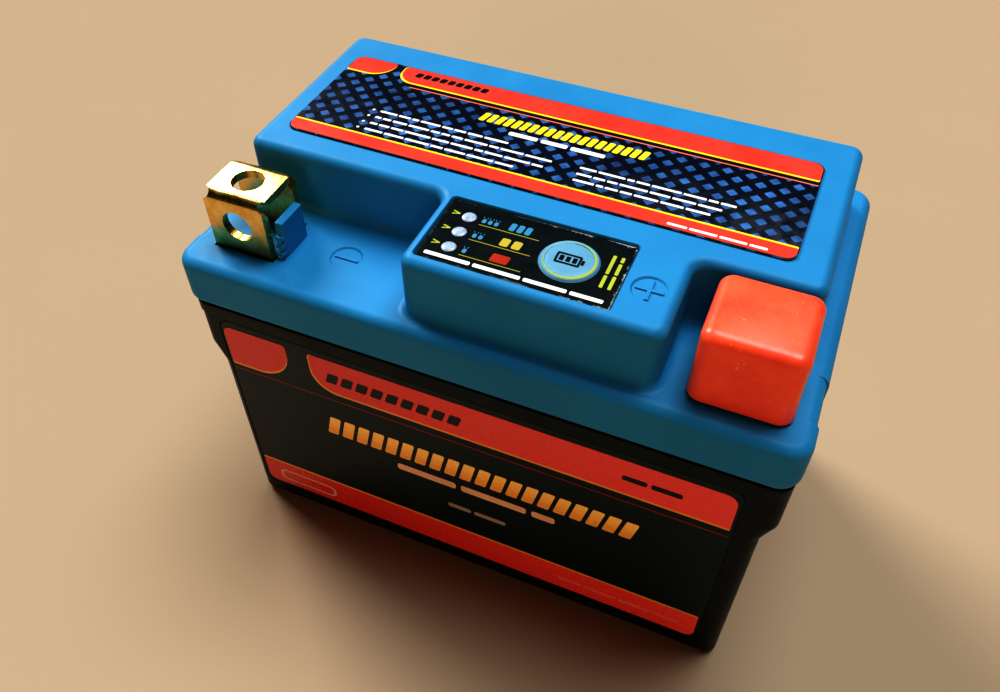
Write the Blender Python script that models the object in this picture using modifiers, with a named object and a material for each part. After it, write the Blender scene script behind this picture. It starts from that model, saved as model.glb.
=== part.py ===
"""A small lithium motorcycle battery: moulded case and lid, two folded brass terminals, a lift-off
boot, a charge indicator with a test button, and the cell pack with its wiring inside.

Sizes are in millimetres and are scaled to metres when a mesh is made. +X runs along the length from
the negative to the positive terminal, +Y to the back, +Z up. The origin is the middle of the base.
"""

import math

import bmesh
import bpy
from mathutils import Matrix, Vector

MM = 0.001
GAP = 0.3
OBJECT_NAME = "motorcycle_battery"

# Lid outline and heights
LID_X = 56.5
LID_Y = 34.5
LID_CORNER = 4.0
LID_WALL = 2.0
SKIRT_FOOT_Z = 62.3
TERRACE_Z = 72.7
TERRACE_THICKNESS = 2.2
DECK_Z = 85.0
DECK_X = 52.05
DECK_FRONT_Y = -12.6
DECK_BACK_Y = 29.3
BLOCK_LEFT_X = -12.2
BLOCK_RIGHT_X = 31.7
BLOCK_FRONT_Y = -31.0
DECK_ROUND = 1.8
DECK_FOOT_ROUND = 1.2
SKIRT_ROUND = 1.6
ROOF_Z = DECK_Z - LID_WALL

# Case
CASE_X = 54.0
CASE_Y = 32.8
CASE_BAND_X = 56.0
CASE_CORNER = 2.2
CASE_WALL = 2.0
CASE_FLOOR = 2.2
SHOULDER_LOW_Z = 45.3
SHOULDER_HIGH_Z = 50.0
RIM_LOW_Z = 58.8
RIM_TOP_Z = 62.0
TONGUE_TOP_Z = 69.0
TONGUE_X = 54.1
TONGUE_Y = 32.1

# Folded terminals
TERMINAL_X = 45.1
TERMINAL_WIDTH = 11.8
TERMINAL_FRONT_Y = -28.2
TERMINAL_BACK_Y = -17.2
TERMINAL_TOP_Z = 84.7
TERMINAL_FOOT_Z = 66.5
PLATE = 1.5
FOLD_ROUND = 2.0
LEG_STEP = 0.5
FRONT_HOLE_Z = 78.6
HOLE_RADIUS = 2.95
NOTCH_RADIUS = 1.1

# Moulded nut stop beside each terminal
STOP_INNER_X = 37.1
STOP_OUTER_X = 38.8
STOP_FRONT_Y = -26.1
STOP_BACK_Y = -19.6
STOP_TOP_Z = 80.0

# Boot over the positive terminal
CAP_LEFT_X = 35.8
CAP_RIGHT_X = 52.5
CAP_FRONT_Y = -30.6
CAP_BACK_Y = -14.4
CAP_TOP_Z = 87.0
CAP_WALL = 0.8
CAP_ROUND = 2.4

# Charge indicator in the block of the lid
FILM_CENTRE = (6.1, -20.85)
FILM_SIZE = (32.4, 15.3)
FILM_LOW_Z = 84.2
FILM_TOP_Z = 84.6
RECESS_MARGIN = 0.25
RECESS_DEPTH = 1.1
WINDOW_X = -5.85
WINDOW_YS = {"full": -16.6, "medium": -20.6, "low": -24.6}
WINDOW_RADIUS = 1.4
BUTTON_CENTRE = (13.15, -20.45)
BUTTON_RADIUS = 4.95
BUTTON_CLEARANCE = 0.15
BOARD_TOP_Z = 80.8
BOARD_THICKNESS = 1.2
BOARD_X = (-9.4, 28.6)
BOARD_Y = (-28.0, -9.0)
LED_HALF = (1.5, 1.25)
SCREW_SPOTS = ((25.5, -26.0), (25.5, -11.6), (-6.5, -11.2))

# Cell pack
CELL_COUNT = 4
CELL_PITCH = 13.0
CELL_HALF = (5.8, 28.0)
CELL_LOW_Z = 5.3
CELL_TOP_Z = 57.0
TAB_Y = 14.0
TAB_TOP_Z = 60.2
TAB_SHEET = 0.5
BALANCE_BOARD_X = 23.0
BALANCE_BOARD_Y = (-7.0, 21.0)
LEAD_RADIUS = 2.1
WIRE_RADIUS = 0.6

# Labels
FRONT_LABEL_CENTRE = (-1.1, 30.8)
FRONT_LABEL_SIZE = (101.2, 53.0)
TOP_LABEL_CENTRE = (-0.6, 6.7)
TOP_LABEL_SIZE = (93.8, 28.6)

ARC_STEPS = 5
ROUND_STEPS = 3
LEAST_ARC = 0.1


# Scene and materials


def empty_scene():
    for old in list(bpy.data.objects):
        bpy.data.objects.remove(old, do_unlink=True)


def new_collection(name):
    collection = bpy.data.collections.new(name)
    bpy.context.scene.collection.children.link(collection)
    return collection


def material(name, colour, roughness, metallic=0.0):
    made = bpy.data.materials.new(name)
    made.use_nodes = True
    shader = made.node_tree.nodes["Principled BSDF"]
    shader.inputs["Base Color"].default_value = (*colour, 1.0)
    shader.inputs["Roughness"].default_value = roughness
    shader.inputs["Metallic"].default_value = metallic
    return made


def make_materials():
    return {
        "blue": material("blue_plastic", (0.03, 0.25, 0.62), 0.45),
        "black": material("black_plastic", (0.012, 0.013, 0.014), 0.4),
        "brass": material("brass", (0.85, 0.58, 0.2), 0.22, 1.0),
        "cap": material("cap_rubber", (0.85, 0.07, 0.03), 0.3),
        "label": material("label_film", (0.02, 0.025, 0.03), 0.3),
        "lens": material("clear_lens", (0.62, 0.66, 0.7), 0.15),
        "led": material("led_package", (0.85, 0.85, 0.8), 0.4),
        "button": material("button_plastic", (0.5, 0.68, 0.75), 0.35),
        "board": material("circuit_board", (0.02, 0.2, 0.06), 0.4),
        "chip": material("chip_plastic", (0.02, 0.02, 0.02), 0.5),
        "steel": material("screw_steel", (0.6, 0.6, 0.6), 0.3, 1.0),
        "nickel": material("nickel_strip", (0.72, 0.7, 0.66), 0.3, 1.0),
        "pouch": material("cell_pouch", (0.6, 0.62, 0.64), 0.35, 0.8),
        "foam": material("foam_sheet", (0.05, 0.05, 0.055), 0.9),
        "seal": material("sealing_bead", (0.1, 0.1, 0.1), 0.6),
        "red_wire": material("red_insulation", (0.6, 0.02, 0.02), 0.4),
        "black_wire": material("black_insulation", (0.015, 0.015, 0.015), 0.4),
    }


# Mesh tools


def add_object(name, mesh, place, smooth=False):
    """An object on a mesh, in the collection and with the material that place names."""
    collection, finish = place
    made = bpy.data.objects.new(name, mesh)
    collection.objects.link(made)
    if finish is not None:
        mesh.materials.append(finish)
    if smooth:
        mesh.shade_smooth()
        mesh.set_sharp_from_angle(angle=math.radians(40.0))
    return made


def mesh_from(bm, name):
    bmesh.ops.recalc_face_normals(bm, faces=bm.faces)
    mesh = bpy.data.meshes.new(name)
    bm.to_mesh(mesh)
    bm.free()
    return mesh


def as_cutter(made):
    made.hide_render = True
    made.display_type = "WIRE"
    return made


def boolean(target, other, operation):
    cut = target.modifiers.new(other.name, "BOOLEAN")
    cut.operation = operation
    cut.solver = "EXACT"
    cut.object = other


def edges_at(bm, height):
    return [e for e in bm.edges if all(abs(v.co.z - height) < 1e-6 for v in e.verts)]


def upright_edges(bm):
    return [e for e in bm.edges if abs(e.verts[0].co.z - e.verts[1].co.z) > 1e-6]


def block(name, low, high, place, corner=0.0, top=0.0, bottom=0.0, steps=ROUND_STEPS):
    """A box between two corners, with rounded upright, top and bottom edges where radii are given."""
    low = Vector(low) * MM
    high = Vector(high) * MM
    size = high - low
    bm = bmesh.new()
    bmesh.ops.create_cube(bm, size=1.0)
    bmesh.ops.scale(bm, vec=size, verts=bm.verts)
    rounds = ((corner, upright_edges(bm)), (top, None), (bottom, None))
    for index, (radius, edges) in enumerate(rounds):
        if radius <= 0.0:
            continue
        if index == 1:
            edges = edges_at(bm, size.z / 2)
        elif index == 2:
            edges = edges_at(bm, -size.z / 2)
        bmesh.ops.bevel(
            bm, geom=edges, offset=radius * MM, segments=steps, profile=0.5, affect="EDGES"
        )
    made = add_object(name, mesh_from(bm, name), place, smooth=True)
    made.location = (low + high) / 2
    return made


def cylinder(name, centre, axis, radius, length, place, sides=24):
    """A round bar about a centre, along an axis."""
    bm = bmesh.new()
    bmesh.ops.create_cone(
        bm,
        cap_ends=True,
        segments=sides,
        radius1=radius * MM,
        radius2=radius * MM,
        depth=length * MM,
    )
    made = add_object(name, mesh_from(bm, name), place, smooth=True)
    turn = Vector(axis).to_track_quat("Z", "Y")
    made.rotation_mode = "QUATERNION"
    made.rotation_quaternion = turn
    made.location = Vector(centre) * MM
    return made


def turned(name, centre, profile, place, steps=24):
    """A turned piece: a profile of (radius, height), top to bottom, about an upright axis."""
    mesh = bpy.data.meshes.new(name)
    points = [(radius * MM, 0.0, height * MM) for radius, height in profile]
    mesh.from_pydata(points, [(i, i + 1) for i in range(len(points) - 1)], [])
    made = add_object(name, mesh, place)
    made.location = (centre[0] * MM, centre[1] * MM, 0.0)
    screw = made.modifiers.new("turn", "SCREW")
    screw.axis = "Z"
    screw.steps = steps
    screw.render_steps = steps
    screw.use_merge_vertices = True
    screw.merge_threshold = 0.00001
    screw.use_smooth_shade = True
    return made


def rounded_outline(corners, grow=(0.0, 0.0), steps=ARC_STEPS):
    """An outline of level and upright edges, anticlockwise, each corner (x, y, radius) an arc.

    grow moves the edges outwards along x and y. Outer corners then widen and inner ones tighten.
    """
    points = []
    count = len(corners)
    for index, (x, y, radius) in enumerate(corners):
        before = Vector((x, y)) - Vector(corners[index - 1][:2])
        after = Vector(corners[(index + 1) % count][:2]) - Vector((x, y))
        before.normalize()
        after.normalize()
        turn = 1.0 if before.cross(after) > 0.0 else -1.0
        outwards = Vector((before.y, -before.x)) + Vector((after.y, -after.x))
        corner = Vector((x + outwards.x * grow[0], y + outwards.y * grow[1]))
        arc = max(LEAST_ARC, radius + turn * min(grow))
        centre = corner + (after - before) * arc
        start = math.atan2(-after.y, -after.x)
        for step in range(steps + 1):
            angle = start + turn * (math.pi / 2) * step / steps
            points.append((centre.x + arc * math.cos(angle), centre.y + arc * math.sin(angle)))
    return points


def rectangle(half_x, half_y, radius, centre=(0.0, 0.0)):
    x, y = centre
    return [
        (x - half_x, y - half_y, radius),
        (x + half_x, y - half_y, radius),
        (x + half_x, y + half_y, radius),
        (x - half_x, y + half_y, radius),
    ]


def quarter(z, radius, grow, rising, steps=ROUND_STEPS):
    """Levels of a quarter round that ends at height z: above it when rising, below it otherwise."""
    levels = []
    for step in range(steps + 1):
        angle = (math.pi / 2) * step / steps
        inset = radius * (1.0 - math.cos(angle))
        climb = radius * (1.0 - math.sin(angle))
        levels.append((z - climb, grow - inset) if rising else (z + climb, grow - inset))
    return levels if rising else levels[::-1]


def even(levels):
    """Levels whose outline grows alike along x and y."""
    return [(z, grow, grow) for z, grow in levels]


def loft(name, corners, levels, place, origin=(0.0, 0.0, 0.0)):
    """A closed solid through the outlines at levels (z, grow x, grow y), bottom to top."""
    origin = Vector(origin)
    bm = bmesh.new()
    rings = []
    for z, grow_x, grow_y in levels:
        outline = rounded_outline(corners, (grow_x, grow_y))
        rings.append([bm.verts.new((Vector((x, y, z)) - origin) * MM) for x, y in outline])
    count = len(rings[0])
    for lower, upper in zip(rings, rings[1:]):
        for i in range(count):
            j = (i + 1) % count
            bm.faces.new((lower[i], lower[j], upper[j], upper[i]))
    bm.faces.new(rings[0][::-1])
    bm.faces.new(rings[-1])
    made = add_object(name, mesh_from(bm, name), place, smooth=True)
    made.location = origin * MM
    return made


def plate(name, outlines, thickness, place, turn=None, origin=(0.0, 0.0, 0.0)):
    """A flat outline, with holes, given a thickness: a filled curve made a mesh and welded."""
    curve = bpy.data.curves.new(name, "CURVE")
    curve.dimensions = "2D"
    curve.fill_mode = "BOTH"
    curve.extrude = thickness * MM / 2
    curve.render_resolution_u = 0
    for outline in outlines:
        spline = curve.splines.new("POLY")
        spline.points.add(len(outline) - 1)
        for point, (x, y) in zip(spline.points, outline):
            point.co = (x * MM, y * MM, 0.0, 1.0)
        spline.use_cyclic_u = True
    guide = bpy.data.objects.new(name + "_curve", curve)
    bpy.context.scene.collection.objects.link(guide)
    bpy.context.view_layer.update()
    graph = bpy.context.evaluated_depsgraph_get()
    mesh = bpy.data.meshes.new_from_object(guide.evaluated_get(graph))
    bpy.data.objects.remove(guide, do_unlink=True)
    bpy.data.curves.remove(curve)
    bm = bmesh.new()
    bm.from_mesh(mesh)
    bpy.data.meshes.remove(mesh)
    bmesh.ops.remove_doubles(bm, verts=bm.verts, dist=1e-7)
    bmesh.ops.transform(bm, matrix=turn or Matrix.Identity(4), verts=bm.verts)
    made = add_object(name, mesh_from(bm, name), place, smooth=True)
    made.location = Vector(origin) * MM
    return made


def circle(centre, radius, sides=24):
    angles = [2 * math.pi * i / sides for i in range(sides)]
    return [(centre[0] + radius * math.cos(a), centre[1] + radius * math.sin(a)) for a in angles]


def smooth_route(stops, per_span):
    """Points along a smooth curve through the stops."""
    stops = [Vector(stop) for stop in stops]
    padded = [2 * stops[0] - stops[1]] + stops + [2 * stops[-1] - stops[-2]]
    points = []
    for a, b, c, d in zip(padded, padded[1:], padded[2:], padded[3:]):
        for step in range(per_span):
            t = step / per_span
            points.append(
                0.5 * (2 * b + (c - a) * t + (2 * a - 5 * b + 4 * c - d) * t**2
                       + (3 * b - a - 3 * c + d) * t**3)
            )
    points.append(stops[-1])
    return points


def wire(name, stops, radius, place, per_span=3):
    """A round lead along a smooth route, with flat ends."""
    collection, finish = place
    curve = bpy.data.curves.new(name, "CURVE")
    curve.dimensions = "3D"
    curve.bevel_depth = radius * MM
    curve.bevel_resolution = 2
    curve.render_resolution_u = 0
    curve.use_fill_caps = True
    points = smooth_route(stops, per_span)
    spline = curve.splines.new("POLY")
    spline.points.add(len(points) - 1)
    for point, spot in zip(spline.points, points):
        point.co = (*(spot * MM), 1.0)
    made = bpy.data.objects.new(name, curve)
    curve.materials.append(finish)
    collection.objects.link(made)
    return made


# Outer shell


def deck_corners():
    """The raised deck and the indicator block in front of it, as one outline."""
    convex = 2.4
    return [
        (-DECK_X, DECK_FRONT_Y, convex),
        (BLOCK_LEFT_X, DECK_FRONT_Y, convex),
        (BLOCK_LEFT_X, BLOCK_FRONT_Y, convex),
        (BLOCK_RIGHT_X, BLOCK_FRONT_Y, convex),
        (BLOCK_RIGHT_X, DECK_FRONT_Y, convex),
        (DECK_X, DECK_FRONT_Y, convex),
        (DECK_X, DECK_BACK_Y, convex),
        (-DECK_X, DECK_BACK_Y, convex),
    ]


def skirt_levels(grow):
    return even(
        quarter(SKIRT_FOOT_Z, SKIRT_ROUND, grow, rising=False)
        + quarter(TERRACE_Z, SKIRT_ROUND, grow, rising=True)
    )


def deck_levels():
    below = [(TERRACE_Z - 0.6, DECK_FOOT_ROUND)]
    foot = []
    for step in range(ROUND_STEPS + 1):
        angle = (math.pi / 2) * step / ROUND_STEPS
        climb = DECK_FOOT_ROUND * (1.0 - math.cos(angle))
        foot.append((TERRACE_Z + 0.03 + climb, DECK_FOOT_ROUND * (1.0 - math.sin(angle))))
    return even(below + foot + quarter(DECK_Z, DECK_ROUND, 0.0, rising=True))


def nut_stop(side, cutters):
    """The upright wall that keeps a nut inside a terminal, with a low stepped rib before it."""
    low_x, high_x = sorted((side * STOP_INNER_X, side * STOP_OUTER_X))
    name = "nut_stop_left" if side < 0 else "nut_stop_right"
    wall = block(
        name,
        (low_x, STOP_FRONT_Y, TERRACE_Z - 0.5),
        (high_x, STOP_BACK_Y, STOP_TOP_Z),
        cutters,
        top=0.5,
        steps=1,
    )
    rib = block(
        name + "_rib",
        (low_x, STOP_FRONT_Y - 1.1, TERRACE_Z - 0.5),
        (high_x, STOP_FRONT_Y + 0.5, STOP_TOP_Z - 3.2),
        cutters,
    )
    return [as_cutter(wall), as_cutter(rib)]


def polarity_marks(cutters):
    """Shallow round recesses, with a plus standing in the block's and a minus in the terrace's."""
    depth = 0.3
    recess_radius = 2.9
    bar_length = 2.3
    bar_half_width = 0.32
    recesses = []
    bars = []
    for name, x, y, face in (("plus", 26.7, -22.1, DECK_Z), ("minus", -27.6, -22.3, TERRACE_Z)):
        recess = cylinder(
            name + "_recess", (x, y, face), (0, 0, 1), recess_radius, 2 * depth, cutters
        )
        recesses.append(as_cutter(recess))
        sizes = [(bar_length, bar_half_width)]
        if name == "plus":
            sizes.append((bar_half_width, bar_length))
        for half_x, half_y in sizes:
            bar = block(
                f"{name}_bar_{len(bars)}",
                (x - half_x, y - half_y, face - depth - 0.1),
                (x + half_x, y + half_y, face - 0.02),
                cutters,
            )
            bars.append(as_cutter(bar))
    return recesses, bars


def terminal_slots(cutters):
    """Slots in the terrace for the legs of both terminals."""
    slots = []
    slot_foot = TERRACE_Z - TERRACE_THICKNESS - 1.0
    for side in (-1, 1):
        for name, y in (("front", TERMINAL_FRONT_Y), ("back", TERMINAL_BACK_Y - PLATE)):
            slot = block(
                f"slot_{name}_{'left' if side < 0 else 'right'}",
                (side * TERMINAL_X - TERMINAL_WIDTH / 2 - GAP, y - GAP, slot_foot),
                (side * TERMINAL_X + TERMINAL_WIDTH / 2 + GAP, y + PLATE + GAP, TERRACE_Z + 1.0),
                cutters,
            )
            slots.append(as_cutter(slot))
    return slots


def end_channels(cutters):
    """Shallow channels over both end ledges and down the skirt, following its rounded edge."""
    depth = 0.35
    front, back = -27.1, -17.6
    core = loft(
        "channel_floor", rectangle(LID_X, LID_Y, LID_CORNER), skirt_levels(-depth), cutters
    )
    as_cutter(core)
    channels = []
    for side in (-1, 1):
        low_x, high_x = sorted((side * (DECK_X + 1.6), side * (LID_X + 2.0)))
        channel = block(
            "channel_" + ("left" if side < 0 else "right"),
            (low_x, front, SKIRT_FOOT_Z - 3.0),
            (high_x, back, TERRACE_Z + 2.0),
            cutters,
        )
        boolean(channel, core, "DIFFERENCE")
        channels.append(as_cutter(channel))
    return channels


def make_lid(parts, cutters):
    rim = rectangle(LID_X, LID_Y, LID_CORNER)
    lid = loft("lid", rim, skirt_levels(0.0), parts)
    deck = as_cutter(loft("deck_block", deck_corners(), deck_levels(), cutters))
    boolean(lid, deck, "UNION")
    recesses, bars = polarity_marks(cutters)
    for cut in end_channels(cutters) + recesses:
        boolean(lid, cut, "DIFFERENCE")
    for addition in nut_stop(-1, cutters) + nut_stop(1, cutters) + bars:
        boolean(lid, addition, "UNION")

    low_z = SKIRT_FOOT_Z - 2.0
    inside = rectangle(LID_X - LID_WALL, LID_Y - LID_WALL, LID_CORNER - LID_WALL)
    under_terrace = loft(
        "under_terrace",
        inside,
        [(low_z, 0.0, 0.0), (TERRACE_Z - TERRACE_THICKNESS, 0.0, 0.0)],
        cutters,
    )
    under_deck = loft(
        "under_deck",
        deck_corners(),
        [(low_z, -LID_WALL, -LID_WALL), (ROOF_Z, -LID_WALL, -LID_WALL)],
        cutters,
    )
    for hollow in (under_terrace, under_deck):
        boolean(lid, as_cutter(hollow), "DIFFERENCE")

    half_x = FILM_SIZE[0] / 2 + RECESS_MARGIN
    half_y = FILM_SIZE[1] / 2 + RECESS_MARGIN
    recess = loft(
        "indicator_recess",
        rectangle(half_x, half_y, 0.6, FILM_CENTRE),
        [(DECK_Z - RECESS_DEPTH, 0.0, 0.0), (DECK_Z + 1.0, 0.0, 0.0)],
        cutters,
    )
    aperture = block(
        "indicator_aperture", (-8.4, -26.6, ROOF_Z - 1.0), (20.5, -14.7, DECK_Z - 0.5), cutters
    )
    for cut in (recess, aperture):
        boolean(lid, as_cutter(cut), "DIFFERENCE")
    for slot in terminal_slots(cutters):
        boolean(lid, slot, "DIFFERENCE")

    boss_foot = BOARD_TOP_Z + GAP
    for index, (x, y) in enumerate(SCREW_SPOTS, 1):
        length = ROOF_Z + 0.4 - boss_foot
        boss = cylinder(
            f"boss_{index}", (x, y, boss_foot + length / 2), (0, 0, 1), 2.3, length, cutters, 16
        )
        boolean(lid, as_cutter(boss), "UNION")
        pilot = cylinder(f"pilot_{index}", (x, y, boss_foot), (0, 0, 1), 1.1, 6.0, cutters, 12)
        boolean(lid, as_cutter(pilot), "DIFFERENCE")
    return lid


def make_case(parts, cutters):
    body = rectangle(CASE_X, CASE_Y, CASE_CORNER)
    foot_round = 1.5
    band = CASE_BAND_X - CASE_X
    rim = 0.8
    tongue = (TONGUE_X - CASE_X, TONGUE_Y - CASE_Y)
    levels = even(quarter(0.0, foot_round, 0.0, rising=False)) + [
        (SHOULDER_LOW_Z - 0.8, 0.0, 0.0),
        (SHOULDER_LOW_Z, 0.25, 0.0),
        (SHOULDER_HIGH_Z - 0.6, band - 0.2, 0.0),
        (SHOULDER_HIGH_Z, band, 0.0),
        (RIM_LOW_Z, band, 0.0),
        (RIM_LOW_Z + 0.4, band, rim),
        (RIM_TOP_Z, band, rim),
        (RIM_TOP_Z, *tongue),
        (TONGUE_TOP_Z, *tongue),
    ]
    case = loft("case", body, levels, parts)
    hollow = loft(
        "case_hollow",
        rectangle(CASE_X - CASE_WALL, CASE_Y - CASE_WALL, CASE_CORNER - CASE_WALL),
        [(CASE_FLOOR, 0.0, 0.0), (TONGUE_TOP_Z + 1.0, 0.0, 0.0)],
        cutters,
    )
    x, z = FRONT_LABEL_CENTRE
    half_x = FRONT_LABEL_SIZE[0] / 2 + 0.2
    half_z = FRONT_LABEL_SIZE[1] / 2 + 0.2
    panel = block(
        "label_panel",
        (x - half_x, -CASE_Y - 1.0, z - half_z),
        (x + half_x, -CASE_Y + 0.35, z + half_z),
        cutters,
    )
    for cut in (hollow, panel):
        boolean(case, as_cutter(cut), "DIFFERENCE")
    return case


def make_seal(parts):
    outer = rounded_outline(rectangle(TONGUE_X - 0.5, TONGUE_Y - 0.3, 2.0), steps=3)
    inner = rounded_outline(rectangle(TONGUE_X - 1.7, TONGUE_Y - 1.1, 1.2), steps=3)
    height = 1.0
    middle = TONGUE_TOP_Z + 0.2 + height / 2
    plate("lid_seal", (outer, inner), height, parts, origin=(0.0, 0.0, middle))


def make_labels(parts):
    width, height = FRONT_LABEL_SIZE
    front = rounded_outline(rectangle(width / 2, height / 2, 2.0))
    upright = Matrix.Rotation(math.radians(90.0), 4, "X")
    x, z = FRONT_LABEL_CENTRE
    sheet = 0.2
    plate("front_label", (front,), sheet, parts, upright, (x, -CASE_Y + 0.15, z))
    width, height = TOP_LABEL_SIZE
    top = rounded_outline(rectangle(width / 2, height / 2, 2.4))
    plate("top_label", (top,), sheet, parts, None, (*TOP_LABEL_CENTRE, DECK_Z + 0.1 + sheet / 2))


# Terminals and boot


def saddle_outline():
    """The folded plate seen from the end: y along the first axis, z along the second.

    Each leg is thinner below the lid's surface, so that its outer face stands clear of the lid.
    """
    front, back = TERMINAL_FRONT_Y, TERMINAL_BACK_Y
    foot, top = TERMINAL_FOOT_Z, TERMINAL_TOP_Z
    step_z = TERRACE_Z + 0.35
    step = LEG_STEP
    square = 0.0
    corners = [
        (front + step, foot, square),
        (front + PLATE, foot, square),
        (front + PLATE, top - PLATE, FOLD_ROUND - PLATE),
        (back - PLATE, top - PLATE, FOLD_ROUND - PLATE),
        (back - PLATE, foot, square),
        (back - step, foot, square),
        (back - step, step_z, square),
        (back, step_z, square),
        (back, top, FOLD_ROUND),
        (front, top, FOLD_ROUND),
        (front, step_z, square),
        (front + step, step_z, square),
    ]
    return rounded_outline(corners)


def make_terminal(name, side, parts, cutters):
    """A brass strip folded over a nut space, with a front hole, a top hole and fold notches."""
    endways = Matrix(((0, 0, 1, 0), (1, 0, 0, 0), (0, 1, 0, 0), (0, 0, 0, 1)))
    x = side * TERMINAL_X
    saddle = plate(name, (saddle_outline(),), TERMINAL_WIDTH, parts, endways, (x, 0.0, 0.0))
    middle_y = (TERMINAL_FRONT_Y + TERMINAL_BACK_Y) / 2
    cuts = [
        ("front_hole", (x, TERMINAL_FRONT_Y, FRONT_HOLE_Z), (0, 1, 0), HOLE_RADIUS, 6.0),
        ("top_hole", (x, middle_y, TERMINAL_TOP_Z), (0, 0, 1), HOLE_RADIUS, 6.0),
    ]
    fold_z = TERMINAL_TOP_Z - FOLD_ROUND / 3
    for fold, y, lean in (
        ("front", TERMINAL_FRONT_Y + FOLD_ROUND / 3, -1),
        ("back", TERMINAL_BACK_Y - FOLD_ROUND / 3, 1),
    ):
        for edge in (-1, 1):
            spot = (x + edge * (TERMINAL_WIDTH / 2 + 0.1), y, fold_z)
            cuts.append((f"notch_{fold}_{edge + 2}", spot, (0, lean, 1), NOTCH_RADIUS, 6.0))
    for cut_name, spot, axis, radius, length in cuts:
        sides = 24 if "hole" in cut_name else 12
        cut = cylinder(f"{name}_{cut_name}", spot, axis, radius, length, cutters, sides)
        boolean(saddle, as_cutter(cut), "DIFFERENCE")
    return saddle


def make_cap(parts, cutters):
    """The soft boot, which lifts straight up: its origin is at the foot of its middle."""
    centre = ((CAP_LEFT_X + CAP_RIGHT_X) / 2, (CAP_FRONT_Y + CAP_BACK_Y) / 2)
    half = ((CAP_RIGHT_X - CAP_LEFT_X) / 2, (CAP_BACK_Y - CAP_FRONT_Y) / 2)
    foot = TERRACE_Z + GAP
    outer = rectangle(*half, CAP_ROUND, centre)
    levels = even(quarter(foot, 0.6, 0.0, rising=False, steps=2)
                  + quarter(CAP_TOP_Z, CAP_ROUND - 0.2, 0.0, rising=True))
    cap = loft("terminal_cap", outer, levels, parts, (*centre, foot))
    top = CAP_TOP_Z - 1.15
    hollow = loft(
        "cap_hollow",
        outer,
        [(foot - 1.0, -CAP_WALL, -CAP_WALL), (top, -CAP_WALL, -CAP_WALL)],
        cutters,
    )
    boolean(cap, as_cutter(hollow), "DIFFERENCE")
    return cap


# Charge indicator


def make_indicator(paint, parts, cutters):
    outlines = [rounded_outline(rectangle(FILM_SIZE[0] / 2, FILM_SIZE[1] / 2, 0.5, FILM_CENTRE))]
    for window_y in WINDOW_YS.values():
        outlines.append(circle((WINDOW_X, window_y), WINDOW_RADIUS, 16))
    outlines.append(circle(BUTTON_CENTRE, BUTTON_RADIUS + BUTTON_CLEARANCE, 32))
    film_thickness = FILM_TOP_Z - FILM_LOW_Z
    middle = (FILM_TOP_Z + FILM_LOW_Z) / 2
    plate("indicator_film", outlines, film_thickness, (parts, paint["label"]), None, (0, 0, middle))

    for name, window_y in WINDOW_YS.items():
        spot = (WINDOW_X, window_y)
        rim = WINDOW_RADIUS - 0.15
        low = FILM_LOW_Z - 1.0
        lens = [(0.0, FILM_TOP_Z + 0.15), (rim * 0.7, FILM_TOP_Z + 0.08), (rim, FILM_TOP_Z - 0.1),
                (rim, FILM_LOW_Z - GAP), (rim + 0.4, FILM_LOW_Z - GAP), (rim + 0.4, low), (0.0, low)]
        turned(f"lens_{name}", spot, lens, (parts, paint["lens"]), 16)
        low_z = BOARD_TOP_Z + GAP
        block(
            f"led_{name}",
            (WINDOW_X - LED_HALF[0], window_y - LED_HALF[1], low_z),
            (WINDOW_X + LED_HALF[0], window_y + LED_HALF[1], low - GAP),
            (parts, paint["led"]),
        )

    board = block(
        "indicator_board",
        (BOARD_X[0], BOARD_Y[0], BOARD_TOP_Z - BOARD_THICKNESS),
        (BOARD_X[1], BOARD_Y[1], BOARD_TOP_Z),
        (parts, paint["board"]),
        corner=1.0,
        steps=2,
    )
    for index, (screw_x, screw_y) in enumerate(SCREW_SPOTS, 1):
        hole = cylinder(
            f"board_hole_{index}",
            (screw_x, screw_y, BOARD_TOP_Z - BOARD_THICKNESS / 2),
            (0, 0, 1),
            1.3,
            4.0,
            (cutters[0], None),
            16,
        )
        boolean(board, as_cutter(hole), "DIFFERENCE")
        under = BOARD_TOP_Z - BOARD_THICKNESS - GAP
        screw = [(0.0, BOARD_TOP_Z + 3.0), (0.8, BOARD_TOP_Z + 2.6), (0.8, under), (1.9, under),
                 (1.9, under - 0.7), (1.3, under - 1.3), (0.0, under - 1.5)]
        turned(f"board_screw_{index}", (screw_x, screw_y), screw, (parts, paint["steel"]), 12)
    make_button(paint, parts, cutters)


def make_button(paint, parts, cutters):
    """The button, the plunger under it and the switch: each has its origin on the press axis."""
    r = BUTTON_RADIUS
    flange = FILM_LOW_Z - GAP
    foot = flange - 0.4
    dome = [(0.0, DECK_Z), (r * 0.5, DECK_Z - 0.03), (r * 0.85, DECK_Z - 0.15), (r, FILM_TOP_Z + 0.05),
            (r, flange), (r + 0.6, flange), (r + 0.6, foot), (0.0, foot)]
    turned("test_button", BUTTON_CENTRE, dome, (parts, paint["button"]), 32)
    plunger_top = foot - 0.3
    plunger_foot = plunger_top - 1.3
    plunger = [(0.0, plunger_top), (1.4, plunger_top), (1.6, plunger_top - 0.2),
               (1.6, plunger_foot), (0.0, plunger_foot)]
    turned("switch_plunger", BUTTON_CENTRE, plunger, (parts, paint["chip"]), 16)
    x, y = BUTTON_CENTRE
    half = 3.0
    low = BOARD_TOP_Z + GAP
    top = plunger_top - 0.7
    switch = block(
        "switch_body",
        (x - half, y - half, low),
        (x + half, y + half, top),
        (parts, paint["steel"]),
        corner=0.5,
        steps=1,
    )
    well_foot = plunger_foot - 0.6
    well = cylinder(
        "switch_well",
        (x, y, (well_foot + top + 1.0) / 2),
        (0, 0, 1),
        1.85,
        top + 1.0 - well_foot,
        (cutters[0], None),
        16,
    )
    boolean(switch, as_cutter(well), "DIFFERENCE")


# Cell pack and wiring


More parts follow.
